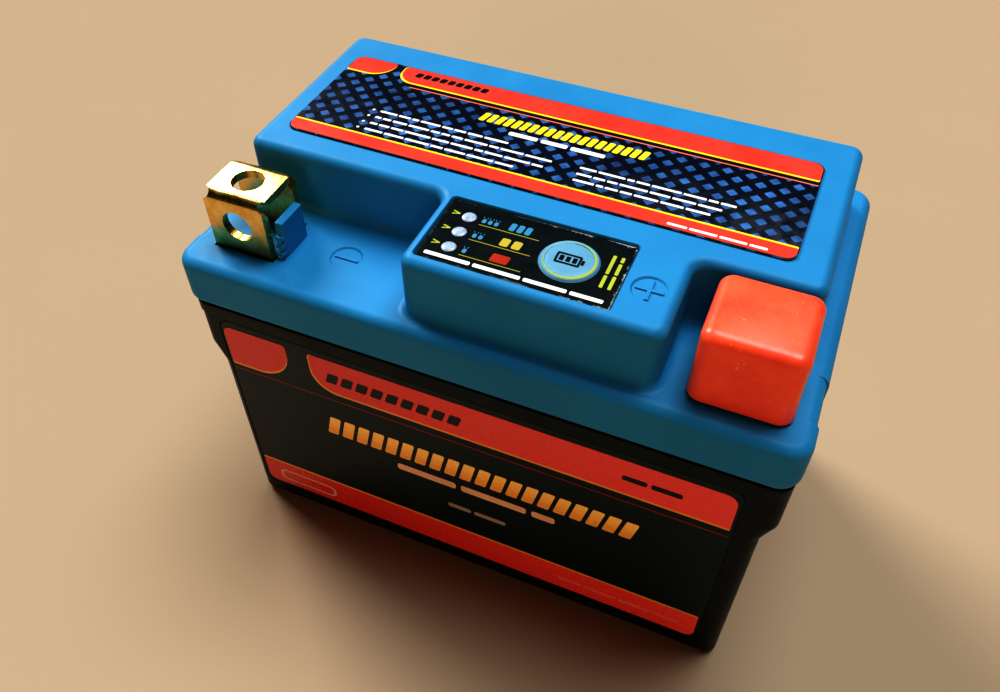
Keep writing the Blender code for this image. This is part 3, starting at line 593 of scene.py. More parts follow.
def indicator_face():
    """Black printed film whose edges are chipped down to pale grey, more towards the right edge, where
    the pale grey also paints a glare.
    """
    made = Finish("indicator_black", IOR=1.42)
    axes = made.axes()
    rim = None
    for axis, middle, reach in (
        ("X", FILM_CENTRE.x, FILM_HALF.x), ("Y", FILM_CENTRE.y, FILM_HALF.y)
    ):
        away = made.maths("ABSOLUTE", made.minus(axes[axis], middle * MM))
        left = made.minus(reach * MM, away)
        rim = left if rim is None else made.maths("MINIMUM", rim, left)
    ragged = made.span(made.noise(1.1, 5.0, 0.7), 0.3, 0.7, -0.2 * MM, 0.55 * MM)
    chipped = made.span(made.minus(rim, ragged), -0.04 * MM, 0.04 * MM, 1.0, 0.0)
    # Real chipping, heavier towards the right edge, where it also stands in for a painted glare.
    right = made.span(axes["X"], (FILM_CENTRE.x - 4.0) * MM, FILM_HIGH.x * MM, 0.15, 1.0)
    place = made.flecks(0.42, 0.55, 3.5, 3.0)
    chips_and_glare = made.times(chipped, made.times(right, place))
    ink = made.blend(made.noise(5.0, 3.0), (0.004, 0.008, 0.009), (0.010, 0.016, 0.018))
    made.colour(chips_and_glare, ink, (0.35, 0.38, 0.38))
    made.rough(made.cloud(2.0, 4.0, 0.17, 0.24))
    return made.bumps((made.noise(1.5, 2.0), 0.02, 0.3), (chips_and_glare, 0.02, 0.6))


def clear_lens():
    """Frosted clear plastic over the unlit lamps."""
    made = Finish(
        "lens_frosted", IOR=1.46, Coat_Weight=0.4, Coat_Roughness=0.1, Transmission_Weight=0.25
    )
    streaks = made.noise(0.5, 4.0, stretch=(1.0, 0.4, 1.0))
    made.colour(made.span(streaks, 0.3, 0.7), (0.33, 0.45, 0.60), (0.58, 0.70, 0.82))
    made.rough(made.cloud(0.4, 4.0, 0.3, 0.5))
    return made.bumps((made.noise(0.25, 3.0), 0.01, 0.5))


def circuit_board():
    made = Finish("board_mask", IOR=1.5, Coat_Weight=0.4, Coat_Roughness=0.15)
    weave = made.plus(made.cells(1.1, 0.1), made.noise(0.4, 2.0))
    made.colour(made.span(weave, 0.5, 1.2), (0.006, 0.10, 0.035), (0.012, 0.19, 0.06))
    made.rough(made.cloud(1.0, 3.0, 0.28, 0.42))
    return made.bumps((made.cells(1.1, 0.1), 0.02, 0.3))


def thin_metal(name, light, dark, roughness):
    """Rolled sheet or turned steel with fine lines and dull patches."""
    made = Finish(name, Metallic=1.0)
    made.colour(made.cloud(2.0, 4.0), dark, light)
    lines = made.noise(0.1, 3.0, stretch=(1.0, 0.1, 1.0))
    made.rough(made.cloud(1.2, 3.0, roughness - 0.06, roughness + 0.1))
    return made.bumps((lines, 0.004, 0.5))


def cell_foil():
    """Aluminium laminate pouch, softly wrinkled."""
    made = Finish("cell_laminate", Metallic=0.8)
    made.colour(made.noise(6.0, 3.0), (0.42, 0.44, 0.47), (0.62, 0.64, 0.66))
    made.rough(made.cloud(2.0, 3.0, 0.28, 0.44))
    creases = made.noise(3.5, 5.0, 0.6, distortion=0.6)
    return made.bumps((creases, 0.25, 0.4), (made.cells(0.45, 0.2), 0.01, 0.4))


def foam_sheet():
    made = Finish("foam_cells", Roughness=0.95)
    pores = made.cells(0.55)
    made.colour(made.span(pores, 0.1, 0.6), (0.008, 0.008, 0.009), (0.055, 0.055, 0.06))
    made.rough(made.span(pores, 0.0, 0.6, 0.82, 0.98))
    return made.bumps((pores, 0.15, 0.7), (made.noise(0.2, 3.0), 0.03, 0.4))


def plain_plastic(name, light, dark, roughness, grain=0.2):
    made = Finish(name, IOR=1.48)
    made.colour(made.cloud(3.0, 4.0), dark, light)
    made.rough(made.cloud(1.0, 4.0, roughness - 0.06, roughness + 0.08))
    return made.bumps((made.noise(grain, 3.0), 0.012, 0.5))


# Lid


def deck_corners():
    """The outline of the raised deck with the indicator block in front of it."""
    radius = 2.4
    spots = (
        (-DECK_X, DECK_FRONT_Y), (BLOCK_LEFT_X, DECK_FRONT_Y), (BLOCK_LEFT_X, BLOCK_FRONT_Y),
        (BLOCK_RIGHT_X, BLOCK_FRONT_Y), (BLOCK_RIGHT_X, DECK_FRONT_Y), (DECK_X, DECK_FRONT_Y),
        (DECK_X, DECK_BACK_Y), (-DECK_X, DECK_BACK_Y),
    )
    return [(x, y, radius) for x, y in spots]


def skirt_levels(grow):
    return even(
        quarter(LID_LOW.z, SKIRT_ROUND, grow, rising=False)
        + quarter(TERRACE_Z, SKIRT_ROUND, grow, rising=True)
    )


def deck_levels():
    levels = [(TERRACE_Z - 0.6, DECK_FOOT_ROUND)]
    for step in range(ROUND_STEPS + 1):
        angle = (math.pi / 2) * step / ROUND_STEPS
        climb = DECK_FOOT_ROUND * (1.0 - math.cos(angle))
        levels.append((TERRACE_Z + 0.02 + climb, DECK_FOOT_ROUND * (1.0 - math.sin(angle))))
    return even(levels + quarter(DECK_Z, DECK_ROUND, 0.0, rising=True))


def end_channels():
    """Shallow channels over both end ledges and down the skirt."""
    outline = rectangle(LID_HIGH.x, LID_HIGH.y, LID_CORNER)
    core = loft("channel_floor", outline, skirt_levels(-CHANNEL_DEPTH))
    channels = []
    for side in (-1, 1):
        low_x, high_x = sorted((side * (DECK_X + 1.6), side * (LID_HIGH.x + 2.0)))
        low = (low_x, CHANNEL_Y[0], LID_LOW.z - 3.0)
        channel = block(f"channel_{side}", low, (high_x, CHANNEL_Y[1], DECK_Z))
        tool = core.copy()
        tool.data = core.data.copy()
        bpy.context.scene.collection.objects.link(tool)
        channels.append(combine(channel, cuts=[tool]))
    bpy.data.objects.remove(core, do_unlink=True)
    return channels


def nut_stop(side):
    """The upright wall beside a terminal, with three small ledges on the front of it."""
    low_x, high_x = sorted((side * STOP_X[0], side * STOP_X[1]))
    low, high = (low_x, STOP_Y[0], TERRACE_Z - 0.5), (high_x, STOP_Y[1], DECK_Z - 5.0)
    pieces = [block(f"stop_{side}", low, high, 0.35)]
    for index in range(3):
        z = TERRACE_Z + 1.1 + LEDGE_PITCH * index
        low = (low_x + 0.05, LEDGE_FRONT_Y + 0.35 * index, z - 0.45)
        high = (high_x - 0.05, LEDGE_BACK_Y, z + 0.45)
        pieces.append(block(f"stop_ledge_{side}_{index}", low, high, 0.18))
    low = (low_x + 0.45, WEB_FRONT_Y, TERRACE_Z - 0.4)
    high = (high_x - 0.45, LEDGE_BACK_Y, DECK_Z - 7.6)
    pieces.append(block(f"stop_web_{side}", low, high, 0.12))
    return pieces


def polarity_marks():
    depth = 0.3
    recesses = []
    bars = []
    for name, x, y, face in (("plus", 26.7, -22.1, DECK_Z), ("minus", -27.6, -22.3, TERRACE_Z)):
        profile = [(0.0, face + 1.0), (3.2, face + 1.0), (3.0, face), (2.85, face - 0.12),
                   (2.7, face - depth), (0.0, face - depth)]
        recesses.append(turned(name + "_recess", (x, y), profile))
        sizes = [(2.3, 0.32)]
        if name == "plus":
            sizes.append((0.32, 2.3))
        for half_x, half_y in sizes:
            low = (x - half_x, y - half_y, face - depth - 0.4)
            bars.append(block(f"{name}_bar_{half_x}", low, (x + half_x, y + half_y, face - 0.02), 0.1))
    return recesses, bars


def terminal_slots():
    slots = []
    width = NEGATIVE_HIGH.x - NEGATIVE_LOW.x
    gap = 0.3
    for side in (-1, 1):
        x = side * (NEGATIVE_LOW.x + NEGATIVE_HIGH.x) / -2
        for y in (NEGATIVE_LOW.y, NEGATIVE_HIGH.y - PLATE):
            low = (x - width / 2 - gap, y - gap, TERRACE_Z - TERRACE_THICKNESS - 1.0)
            high = (x + width / 2 + gap, y + PLATE + gap, TERRACE_Z + 1.0)
            slots.append(block(f"slot_{side}_{y:.0f}", low, high))
    return slots


def make_lid(finish):
    shell = loft("lid_moulding", rectangle(LID_HIGH.x, LID_HIGH.y, LID_CORNER), skirt_levels(0.0))
    deck = loft("lid_deck", deck_corners(), deck_levels())
    recesses, bars = polarity_marks()
    combine(shell, adds=[deck])
    combine(shell, cuts=recesses + end_channels())
    combine(shell, adds=bars + nut_stop(-1) + nut_stop(1))
    low_z = LID_LOW.z - 2.0
    inner = rectangle(LID_HIGH.x - LID_WALL, LID_HIGH.y - LID_WALL, LID_CORNER - LID_WALL)
    terrace_under = TERRACE_Z - TERRACE_THICKNESS
    cuts = [
        loft("hollow_low", inner, [(low_z, 0, 0), (terrace_under, 0, 0)]),
        loft("hollow_high", deck_corners(),
             [(low_z, -LID_WALL, -LID_WALL), (DECK_Z - LID_WALL, -LID_WALL, -LID_WALL)]),
    ]
    margin = 0.25
    recess = rectangle(FILM_HALF.x + margin, FILM_HALF.y + margin, 0.7, FILM_CENTRE)
    recess_foot = DECK_Z - 1.1
    cuts.append(
        loft("indicator_recess", recess,
             [(recess_foot, 0.0, 0.0), (DECK_Z - 0.25, 0.0, 0.0), (DECK_Z + 0.02, 0.2, 0.2),
              (DECK_Z + 1.0, 0.2, 0.2)])
    )
    cuts.append(block("indicator_aperture", (-8.4, -26.6, DECK_Z - 3.0), (20.5, -14.7, DECK_Z - 0.5)))
    combine(shell, cuts=cuts + terminal_slots())
    return finished(shell, finish, stands_for=["lid"])


# Case


def make_case(finish):
    foot = 1.5
    band = CASE_HIGH.x - CASE_X
    rim = CASE_HIGH.y - CASE_Y
    shoulder = 45.3
    band_z = 50.0
    rim_z = 58.8
    rim_top = 62.0
    levels = even(quarter(0.0, foot, 0.0, rising=False)) + [
        (shoulder - 0.9, 0.0, 0.0),
        (shoulder - 0.3, 0.06, 0.0),
        (shoulder + 0.3, 0.3, 0.0),
        (band_z - 0.9, band - 0.35, 0.0),
        (band_z - 0.3, band - 0.08, 0.0),
        (band_z + 0.4, band, 0.0),
        (rim_z, band, 0.0),
        (rim_z + 0.12, band, rim * 0.15),
        (rim_z + 0.45, band, rim * 0.85),
        (rim_z + 0.65, band, rim),
        (rim_top - 0.3, band, rim),
        (rim_top, band - 0.3, rim - 0.3),
        (rim_top + 0.01, TONGUE[0] + band, TONGUE[1] + rim),
        (CASE_HIGH.z - 0.3, TONGUE[0] + band, TONGUE[1] + rim),
        (CASE_HIGH.z, TONGUE[0] + band - 0.3, TONGUE[1] + rim - 0.3),
    ]
    shell = loft("case_moulding", rectangle(CASE_X, CASE_Y, CASE_CORNER), levels)
    hollow = loft(
        "case_hollow",
        rectangle(CASE_X - CASE_WALL, CASE_Y - CASE_WALL, 0.6),
        [(2.2, 0.0, 0.0), (CASE_HIGH.z + 1.0, 0.0, 0.0)],
    )
    margin = 0.2
    depth = 0.35
    half_x = (FRONT_LABEL_HIGH.x - FRONT_LABEL_LOW.x) / 2 + margin
    half_z = (FRONT_LABEL_HIGH.z - FRONT_LABEL_LOW.z) / 2 + margin
    middle = (FRONT_LABEL_LOW + FRONT_LABEL_HIGH) / 2
    panel = plate(
        "label_panel",
        [rounded_outline(rectangle(half_x, half_z, 2.2, (middle.x, middle.z)))],
        2 * depth,
        upright(-CASE_Y),
    )
    combine(shell, cuts=[hollow, panel])
    return finished(shell, finish, stands_for=["case"], angle=32.0)


def upright(y):
    """Stands a plate up in the plane at y, its own y becoming z."""
    return Matrix.Translation((0.0, y * MM, 0.0)) @ Matrix.Rotation(math.radians(90.0), 4, "X")


def level(z):
    return Matrix.Translation((0.0, 0.0, z * MM))


# Labels


def dashes(low_x, high_x, y, height, seed, words):
    """A line of plain dashes of uneven length, which stands for a line of small print."""
    draw = random.Random(seed)
    outlines = []
    x = low_x
    gap = height * 0.55
    while x < high_x - height:
        end = min(high_x, x + height * draw.uniform(*words))
        if high_x - end < height + gap:
            end = high_x
        outlines.append(bar(x, end, y, y + height, height * 0.3))
        x = end + gap
    return outlines


def gauge(low_x, high_x, low_y, high_y, count, lean):
    """A row of equal slanted segments, like the bars of a charge gauge."""
    pitch = (high_x - low_x) / count
    outlines = []
    for index in range(count):
        x = low_x + pitch * index
        outlines.append(bar(x, x + pitch * 0.74, low_y, high_y, 0.35, lean))
    return outlines


def ink(name, outlines, place_at, height, finish, body=HOUSING, slot="label_film"):
    """A thin printed layer, its middle at a height over the surface that place_at faces."""
    made = plate(name, outlines, INK, place_at(height))
    return finished(made, finish, body)


def make_front_label(paints):
    low, high = FRONT_LABEL_LOW, FRONT_LABEL_HIGH
    middle = (low + high) / 2
    outline = rounded_outline(
        rectangle((high.x - low.x) / 2, (high.z - low.z) / 2, 2.2, (middle.x, middle.z))
    )
    sheet = plate("front_label_sheet", [outline], high.y - low.y, upright(middle.y))
    finished(sheet, paints["front_black"], stands_for=["front_label"])

    def face(height):
        return upright(low.y - height)

    left, right = low.x + 0.4, high.x - 0.6
    top = high.z - 1.5
    edge = 0.55

    def patches(extra):
        """The three red fields, whose inner edges move by extra to show as a line of gold."""
        return [
            patch(left, -37.4, 45.7 - extra, top, (0.5, 8.0, 0.8, 2.0)),
            patch(-32.4 - extra / 2, right, 46.5 - extra, top, (5.5, 0.3, 2.4, 1.0)),
            patch(left, right, low.z + 0.9, 13.3 + extra, (2.0, 2.0, 0.2, 0.2)),
        ]

    dark = gauge(-29.5, -1.0, 49.3, 52.0, 9, 0.9) + dashes(29.3, 40.0, 50.3, 1.3, 8, (3, 5))
    badge = [patch(-47.7, -33.3, 7.0, 10.8, (1.6,) * 4), patch(-47.2, -33.8, 7.45, 10.35, (1.3,) * 4)]
    for name, outlines, height, paint in (
        ("gold_lines", patches(edge), ON_FILM, "gold_line"),
        ("red", patches(0.0), ON_FIRST_INK, "front_red"),
        ("thin_line", [bar(left, right, 43.9, 44.2, 0.1)], ON_FILM, "dull_red"),
        ("gauge", gauge(-31.6, 33.6, 32.5, 38.0, 20, 1.3), ON_FILM, "gold"),
        ("subtitle", dashes(-16.0, 18.0, 28.2, 2.0, 5, (4, 8)), ON_FILM, "tan"),
        ("rating", dashes(-5.0, 7.7, 21.1, 1.3, 9, (3, 5)), ON_FILM, "grey_ink"),
        ("dark_print", dark, ON_SECOND_INK, "black_ink"),
        ("faint_print", dashes(19.7, 45.5, 8.5, 0.9, 21, (5, 9)), ON_SECOND_INK, "pink_ink"),
        ("badge", badge, ON_SECOND_INK, "pale_ink"),
    ):
        ink("front_label_" + name, outlines, face, height, paints[paint])


def make_top_label(paints):
    low, high = TOP_LABEL_LOW, TOP_LABEL_HIGH
    middle = (low + high) / 2
    turn = Matrix.Rotation(math.radians(-0.55), 4, "Z")
    half_x = (high.x - low.x) / 2 - 0.15
    half_y = (high.y - low.y) / 2 - 0.45

    def face(height):
        spot = Matrix.Translation(Vector((middle.x, middle.y, high.z + height)) * MM)
        return spot @ turn

    sheet_depth = high.z - low.z
    outline = rounded_outline(rectangle(half_x, half_y, 2.0))
    sheet = plate("top_label_sheet", [outline], sheet_depth, face(-sheet_depth / 2))
    finished(sheet, paints["lattice"], stands_for=["top_label"])
    left, right = 0.2 - half_x, half_x - 0.2
    top, foot = half_y - 0.2, 0.2 - half_y
    red_foot = half_y - 5.2
    edge = 0.5

    def patches(extra):
        """The three red fields, whose inner edges move by extra to show as a line of yellow."""
        return [
            patch(left, -37.6, red_foot - extra, top, (0.3, 4.8, 0.7, 1.9)),
            patch(-35.6 - extra / 2, right, red_foot - extra, top, (3.4, 0.3, 1.9, 0.8)),
            patch(left, right, foot, foot + 3.0 + extra, (1.9, 1.9, 0.2, 0.2)),
        ]

    dx, dy = -middle.x, -middle.y
    small = dashes(-8.7 + dx, 9.8 + dx, 6.6 + dy, 1.15, 4, (4, 8))
    for index, end in enumerate((-7.5, 1.7, 0.8, -4.0)):
        y = 3.85 - 2.05 * index + dy
        small += dashes(-33.6 + dx, end + dx, y, 0.62, 30 + index, (2, 9))
        small.append(circle(-35.0 + dx, y + 0.3, 0.3, 16))
    for index, end in enumerate((34.5, 32.5, 31.0)):
        small += dashes(6.8 + dx, end + dx, 2.2 - 1.85 * index + dy, 0.6, 40 + index, (2, 9))
    band = [bar(-34.0, right, red_foot - 1.5, red_foot - 0.3, 0.1)]
    line = [bar(-32.0, right, red_foot - 1.75, red_foot - 1.45, 0.1)]
    title = gauge(-15.8 + dx, 16.8 + dx, 8.9 + dy, 11.7 + dy, 20, 0.7)
    dark = gauge(-33.4 + dx, -17.6 + dx, 17.5 + dy, 19.0 + dy, 9, 0.45)
    small_foot = dashes(25.0 + dx, 41.5 + dx, -6.4 + dy, 0.6, 21, (5, 9))
    for name, outlines, height, paint in (
        ("black_band", band, ON_FILM, "black_ink"),
        ("yellow_lines", patches(edge), ON_FIRST_INK, "yellow"),
        ("red", patches(0.0), ON_SECOND_INK, "top_red"),
        ("pink_line", line, ON_FIRST_INK, "pink_ink"),
        ("gauge", title, ON_FIRST_INK, "yellow"),
        ("white_print", small, ON_FIRST_INK, "white_ink"),
        ("dark_print", dark, ON_THIRD_INK, "black_ink"),
        ("foot_print", small_foot, ON_THIRD_INK, "white_ink"),
    ):
        ink("top_label_" + name, outlines, face, height, paints[paint])


# Terminals and boot


def saddle_outline():
    front, back = NEGATIVE_LOW.y, NEGATIVE_HIGH.y
    foot, top = NEGATIVE_LOW.z, NEGATIVE_HIGH.z
    step_z = TERRACE_Z + 0.35
    inner = FOLD_ROUND - PLATE
    square = 0.05
    corners = [
        (front + LEG_STEP, foot, square), (front + PLATE, foot, square),
        (front + PLATE, top - PLATE, inner), (back - PLATE, top - PLATE, inner),
        (back - PLATE, foot, square), (back - LEG_STEP, foot, square),
        (back - LEG_STEP, step_z, square), (back, step_z, 0.15),
        (back, top, FOLD_ROUND), (front, top, FOLD_ROUND),
        (front, step_z, 0.15), (front + LEG_STEP, step_z, square),
    ]
    return rounded_outline(corners, steps=ROUND_STEPS)


def make_terminal(node, finish):
    """A folded strip with a front hole, a top hole and round notches at its folds."""
    low, high = box_mm(node)
    middle = (low + high) / 2
    width = high.x - low.x
    endways = Matrix(((0, 0, 1, 0), (1, 0, 0, 0), (0, 1, 0, 0), (0, 0, 0, 1)))
    place = Matrix.Translation((middle.x * MM, 0.0, 0.0)) @ endways
    strip = plate(node + "_strip", [saddle_outline()], width, place)
    front_spot = (middle.x, low.y, high.z - FRONT_HOLE_DROP)
    cuts = [
        cylinder("hole_front", front_spot, (0, 1, 0), HOLE_RADIUS, 6.0),
        cylinder("hole_top", (middle.x, middle.y, high.z), (0, 0, 1), HOLE_RADIUS, 6.0),
    ]
    fold = FOLD_ROUND / 3
    for y, lean in ((low.y + fold, -1), (high.y - fold, 1)):
        for edge in (-1, 1):
            spot = (middle.x + edge * (width / 2 + 0.1), y, high.z - fold)
            cuts.append(cylinder(f"notch_{lean}_{edge}", spot, (0, lean, 1), NOTCH_RADIUS, 6.0, 32))
    combine(strip, cuts=cuts)
    worn = strip.modifiers.new("edges", "BEVEL")
    worn.width = 0.14 * MM
    worn.segments = 2
    worn.limit_method = "ANGLE"
    worn.angle_limit = math.radians(50.0)
    return finished(strip, finish, stands_for=[node])


def split_sides(corners, grow):
    """The outline with extra points along its four straight sides."""
    arc_steps = 8
    parts = 10
    outline = rounded_outline(corners, (grow, grow), arc_steps)
    points = []
    for index, point in enumerate(outline):
        points.append(point)
        if index % (arc_steps + 1) == arc_steps:
            start, end = Vector(point), Vector(outline[(index + 1) % len(outline)])
            points += [tuple(start.lerp(end, part / parts)) for part in range(1, parts)]
    return points


def boot_levels(foot, side_top, rounding, crown):
    """Heights and growths of the boot's flared foot, drawn-in wall and round top edge."""
    levels = [(foot, -0.45), (foot + 0.15, -0.15), (foot + 0.45, 0.0)]
    shrink = -0.28
    for step in range(1, 9):
        t = step / 9
        z = foot + 0.45 + (side_top - foot - 0.45) * t
        levels.append((z, shrink * t - 0.12 * math.sin(math.pi * t)))
    for step in range(ROUND_STEPS + 1):
        angle = (math.pi / 2) * step / ROUND_STEPS
        levels.append((side_top + (rounding - crown) * math.sin(angle),
                       shrink - rounding * (1.0 - math.cos(angle))))
    return levels


def make_boot(finish):
    """A soft hollow boot, slightly crowned on top and drawn in towards its top."""
    low, high = CAP_LOW, CAP_HIGH
    centre = (low + high) / 2
    half_x = (high.x - low.x) / 2
    half_y = (high.y - low.y) / 2
    rounding = 2.0
    wall = 0.8
    crown = 0.22
    bm = bmesh.new()
    corners = rectangle(half_x, half_y, 2.6, centre)
    rings = []
    for z, grow in boot_levels(low.z, high.z - rounding, rounding, crown):
        rings.append([Vector((x, y, z)) for x, y in split_sides(corners, grow)])
    last = rings[-1]
    reach_x = max(abs(point.x - centre.x) for point in last)
    reach_y = max(abs(point.y - centre.y) for point in last)

    def crowned(point, t):
        spot = point.lerp(Vector((centre.x, centre.y, point.z)), t)
        flat_x = 1.0 - (abs(spot.x - centre.x) / reach_x) ** 2
        flat_y = 1.0 - (abs(spot.y - centre.y) / reach_y) ** 2
        spot.z += crown * flat_x * flat_y
        return spot

    fill = 12
    rings[-1:] = [[crowned(point, step / fill) for point in last] for step in range(fill)]
    inmost = stitched(bm, rings)[-1]
    tip = bm.verts.new(Vector((centre.x, centre.y, high.z)) * MM)
    for here, following in zip(inmost, inmost[1:] + inmost[:1]):
        bm.faces.new((here, following, tip))
    boot = from_bmesh("terminal_boot", bm)
    shell = boot.modifiers.new("wall", "SOLIDIFY")
    shell.thickness = wall * MM
    shell.offset = -1.0
    return finished(boot, finish, "terminal_cap", ["terminal_cap"], angle=60.0)


# Charge indicator


def make_indicator_film(finish):
    outlines = [rounded_outline(rectangle(FILM_HALF.x, FILM_HALF.y, 0.5, FILM_CENTRE))]
    for spot in WINDOWS.values():
        outlines.append(circle(spot.x, spot.y, WINDOW_RADIUS + 0.02, 40))
    outlines.append(circle(BUTTON_CENTRE.x, BUTTON_CENTRE.y, BUTTON_RADIUS + 0.12, 96))
    film = plate("indicator_sheet", outlines, FILM_HIGH.z - FILM_LOW.z, level(FILM_CENTRE.z))
    finished(film, finish, stands_for=["indicator_film"])


def make_windows(finish):
    """Low clear domes that stand just over the film, each with a flange under it."""
    top = FILM_HIGH.z
    for name, spot in WINDOWS.items():
        radius = WINDOW_RADIUS - 0.04
        profile = [(0.0, top + 0.14), (radius * 0.35, top + 0.13), (radius * 0.7, top + 0.08),
                   (radius * 0.92, top), (radius, top - 0.1), (radius, FILM_LOW.z - 0.3),
                   (radius + 0.5, FILM_LOW.z - 0.3), (radius + 0.5, FILM_LOW.z - 1.0),
                   (0.0, FILM_LOW.z - 1.0)]
        lens = turned(f"window_{name}", spot, profile, 40)
        finished(lens, finish, stands_for=[f"lens_{name}"])


def charge_marks():
    """Outlines of the marks beside each window, by the ink that prints them."""
    marks = {"lime": [], "blue_ink": [], "straw": [], "warm_red": [], "olive": []}
    word_rows = {"full": "blue_ink", "medium": "straw", "low": "warm_red"}
    for count, (name, spot) in zip((3, 2, 1), WINDOWS.items()):
        y = spot.y
        marks["lime"].append(
            rounded_outline([(-8.9, y - 0.35, 0.04), (-7.5, y + 0.08, 0.05), (-7.5, y + 0.32, 0.05),
                             (-8.9, y + 0.75, 0.04), (-8.9, y + 0.45, 0.04), (-8.0, y + 0.2, 0.04),
                             (-8.9, y - 0.05, 0.04)], steps=2)
        )
        for index in range(count):
            x = spot.x + 2.75 + 1.08 * index
            marks["blue_ink"].append(
                rounded_outline([(x - 0.42, y - 0.62, 0.38), (x + 0.42, y - 0.62, 0.38),
                                 (x + 0.3, y + 0.45, 0.25), (x - 0.3, y + 0.45, 0.25)], steps=5)
            )
            marks["blue_ink"].append(bar(x - 0.34, x - 0.2, y + 0.62, y + 1.0, 0.04, -0.08))
            marks["blue_ink"].append(bar(x + 0.2, x + 0.34, y + 0.62, y + 1.0, 0.04, 0.08))
        marks[word_rows[name]] += gauge(1.3, 5.4, y - 0.7, y + 1.3, count, 0.15)
        marks["olive"].append(bar(-3.6, 7.0, y - 1.3, y - 1.1, 0.05))
    return marks


def make_indicator_print(paints):
    def face(height):
        return level(FILM_HIGH.z + height)

    for colour, outlines in charge_marks().items():
        ink(f"indicator_{colour}_marks", outlines, face, 0.02, paints[colour], slot="indicator_film")
    ink("indicator_white_print", dashes(-9.0, 21.0, -27.6, 0.85, 6, (7, 10)), face, 0.02,
        paints["white_ink"], slot="indicator_film")
    columns = []
    for x, seed in ((19.0, 3), (20.4, 7)):
        columns += [[(x + 0.8 - v, u) for u, v in outline]
                    for outline in dashes(-24.3, -16.4, 0.0, 0.6, seed, (4, 8))]
    ink("indicator_side_print", columns, face, 0.02, paints["lime"], slot="indicator_film")


def make_button(paints):
    """The button's shallow dome with its raised rim, and the inks on it; the ring also paints a
    highlight on the rim.
    """
    body = "test_button"
    r = BUTTON_RADIUS
    top = BUTTON_HIGH.z
    rim_z = FILM_HIGH.z
    flange = BUTTON_LOW.z + 0.4
    profile = [
        (0.0, top - 0.06), (r * 0.3, top - 0.07), (r * 0.6, top - 0.1), (r * 0.74, top - 0.14),
        (r * 0.79, top - 0.2), (r * 0.83, top - 0.19), (r * 0.88, top - 0.09), (r * 0.93, top - 0.1),
        (r * 0.975, rim_z + 0.08), (r, rim_z - 0.05), (r, flange), (r + 0.6, flange),
        (r + 0.6, flange - 0.4), (0.0, flange - 0.4),
    ]
    dome = turned("button_dome", BUTTON_CENTRE, profile, 96)
    finished(dome, paints["button"], body, ["test_button"])
    x, y = BUTTON_CENTRE.x, BUTTON_CENTRE.y

    def face(height):
        return level(top + height)

    # Yellow-green ring print, drawn as a crescent that is thickest at the lower right, which paints
    # the highlight on the rim.
    highlight_offset = (0.12, -0.12)
    ring = [circle(x + highlight_offset[0], y + highlight_offset[1], r * 0.87, 96),
            circle(x - 0.05, y + 0.05, r * 0.82, 96)]
    ink("button_ring_and_highlight", ring, face, -0.07, paints["lime_dull"], body, "button_plastic")
    icon = [
        patch(x - 2.3, x + 1.9, y - 1.25, y + 1.25, (0.3, 0.3, 0.3, 0.3)),
        patch(x - 1.95, x + 1.55, y - 0.9, y + 0.9, (0.12, 0.12, 0.12, 0.12)),
        bar(x + 2.0, x + 2.45, y - 0.55, y + 0.55, 0.1),
    ]
    for index in range(3):
        left = x - 1.65 + 1.1 * index
        icon.append(bar(left, left + 0.72, y - 0.6, y + 0.6, 0.08))
    ink("button_icon", icon, face, -0.03, paints["black_ink"], body, "button_plastic")


# Setting


def aim(made, target):
    direction = Vector(target) * MM - made.location
    made.rotation_mode = "QUATERNION"
    made.rotation_quaternion = direction.to_track_quat("-Z", "Y")


def make_camera():
    data = bpy.data.cameras.new("camera")
    data.lens = 32.236
    data.sensor_width = 36.0
    data.clip_start = 0.01
    data.clip_end = 20.0
    camera = link("camera", data)
    camera.location = Vector((44.22, -121.67, 179.14)) * MM
    aim(camera, (-5.86, -3.54, 40.0))
    bpy.context.scene.camera = camera


def make_light(name, location, degrees, strength, colour):
    """A far, wide, soft source: it lights the floor evenly as far as the horizon."""
    data = bpy.data.lights.new(name, "SUN")
    data.angle = math.radians(degrees)
    data.energy = strength
    data.color = colour
    made = link(name, data)
    made.location = Vector(location) * MM
    aim(made, (0.0, 0.0, 60.0))
    return made


def make_setting():
    floor = Finish("floor_pale", Roughness=0.7, Specular_IOR_Level=0.0)
    floor.colour(floor.noise(60.0, 3.0), (0.40, 0.31, 0.215), (0.41, 0.318, 0.22))
    bm = bmesh.new()
    bmesh.ops.create_grid(bm, x_segments=1, y_segments=1, size=9.0)
    ground = from_bmesh("floor", bm)
    ground.data.materials.append(floor.material)
    make_light("window", (-1660.0, 1000.0, 1500.0), 26.0, 2.4, (1.0, 0.98, 0.95))
    make_light("overhead", (150.0, 420.0, 1300.0), 36.0, 2.35, (0.92, 0.97, 1.0))
    fill = make_light("fill", (300.0, -1500.0, 420.0), 30.0, 0.95, (1.0, 0.48, 0.30))
    fill.visible_glossy = False
    make_room()
    view = bpy.context.scene.view_settings
    view.view_transform = "Standard"
    view.look = "High Contrast"
    view.gamma = 0.88
    view.exposure = 0.1


def make_room():
    """A dim world, which the camera sees as pale as the floor."""
    world = bpy.data.worlds.new("room")
    world.use_nodes = True
    tree = world.node_tree
    dim = tree.nodes["Background"]
    dim.inputs["Color"].default_value = (0.9, 0.88, 0.85, 1.0)
    dim.inputs["Strength"].default_value = 0.018
    pale = tree.nodes.new("ShaderNodeBackground")
    pale.inputs["Color"].default_value = (0.49, 0.38, 0.262, 1.0)
    mix = tree.nodes.new("ShaderNodeMixShader")
    seen = tree.nodes.new("ShaderNodeLightPath").outputs["Is Camera Ray"]
    tree.links.new(seen, mix.inputs["Fac"])
    tree.links.new(dim.outputs["Background"], mix.inputs[1])
    tree.links.new(pale.outputs["Background"], mix.inputs[2])
    tree.links.new(mix.outputs["Shader"], tree.nodes["World Output"].inputs["Surface"])
    bpy.context.scene.world = world


# Inner pieces


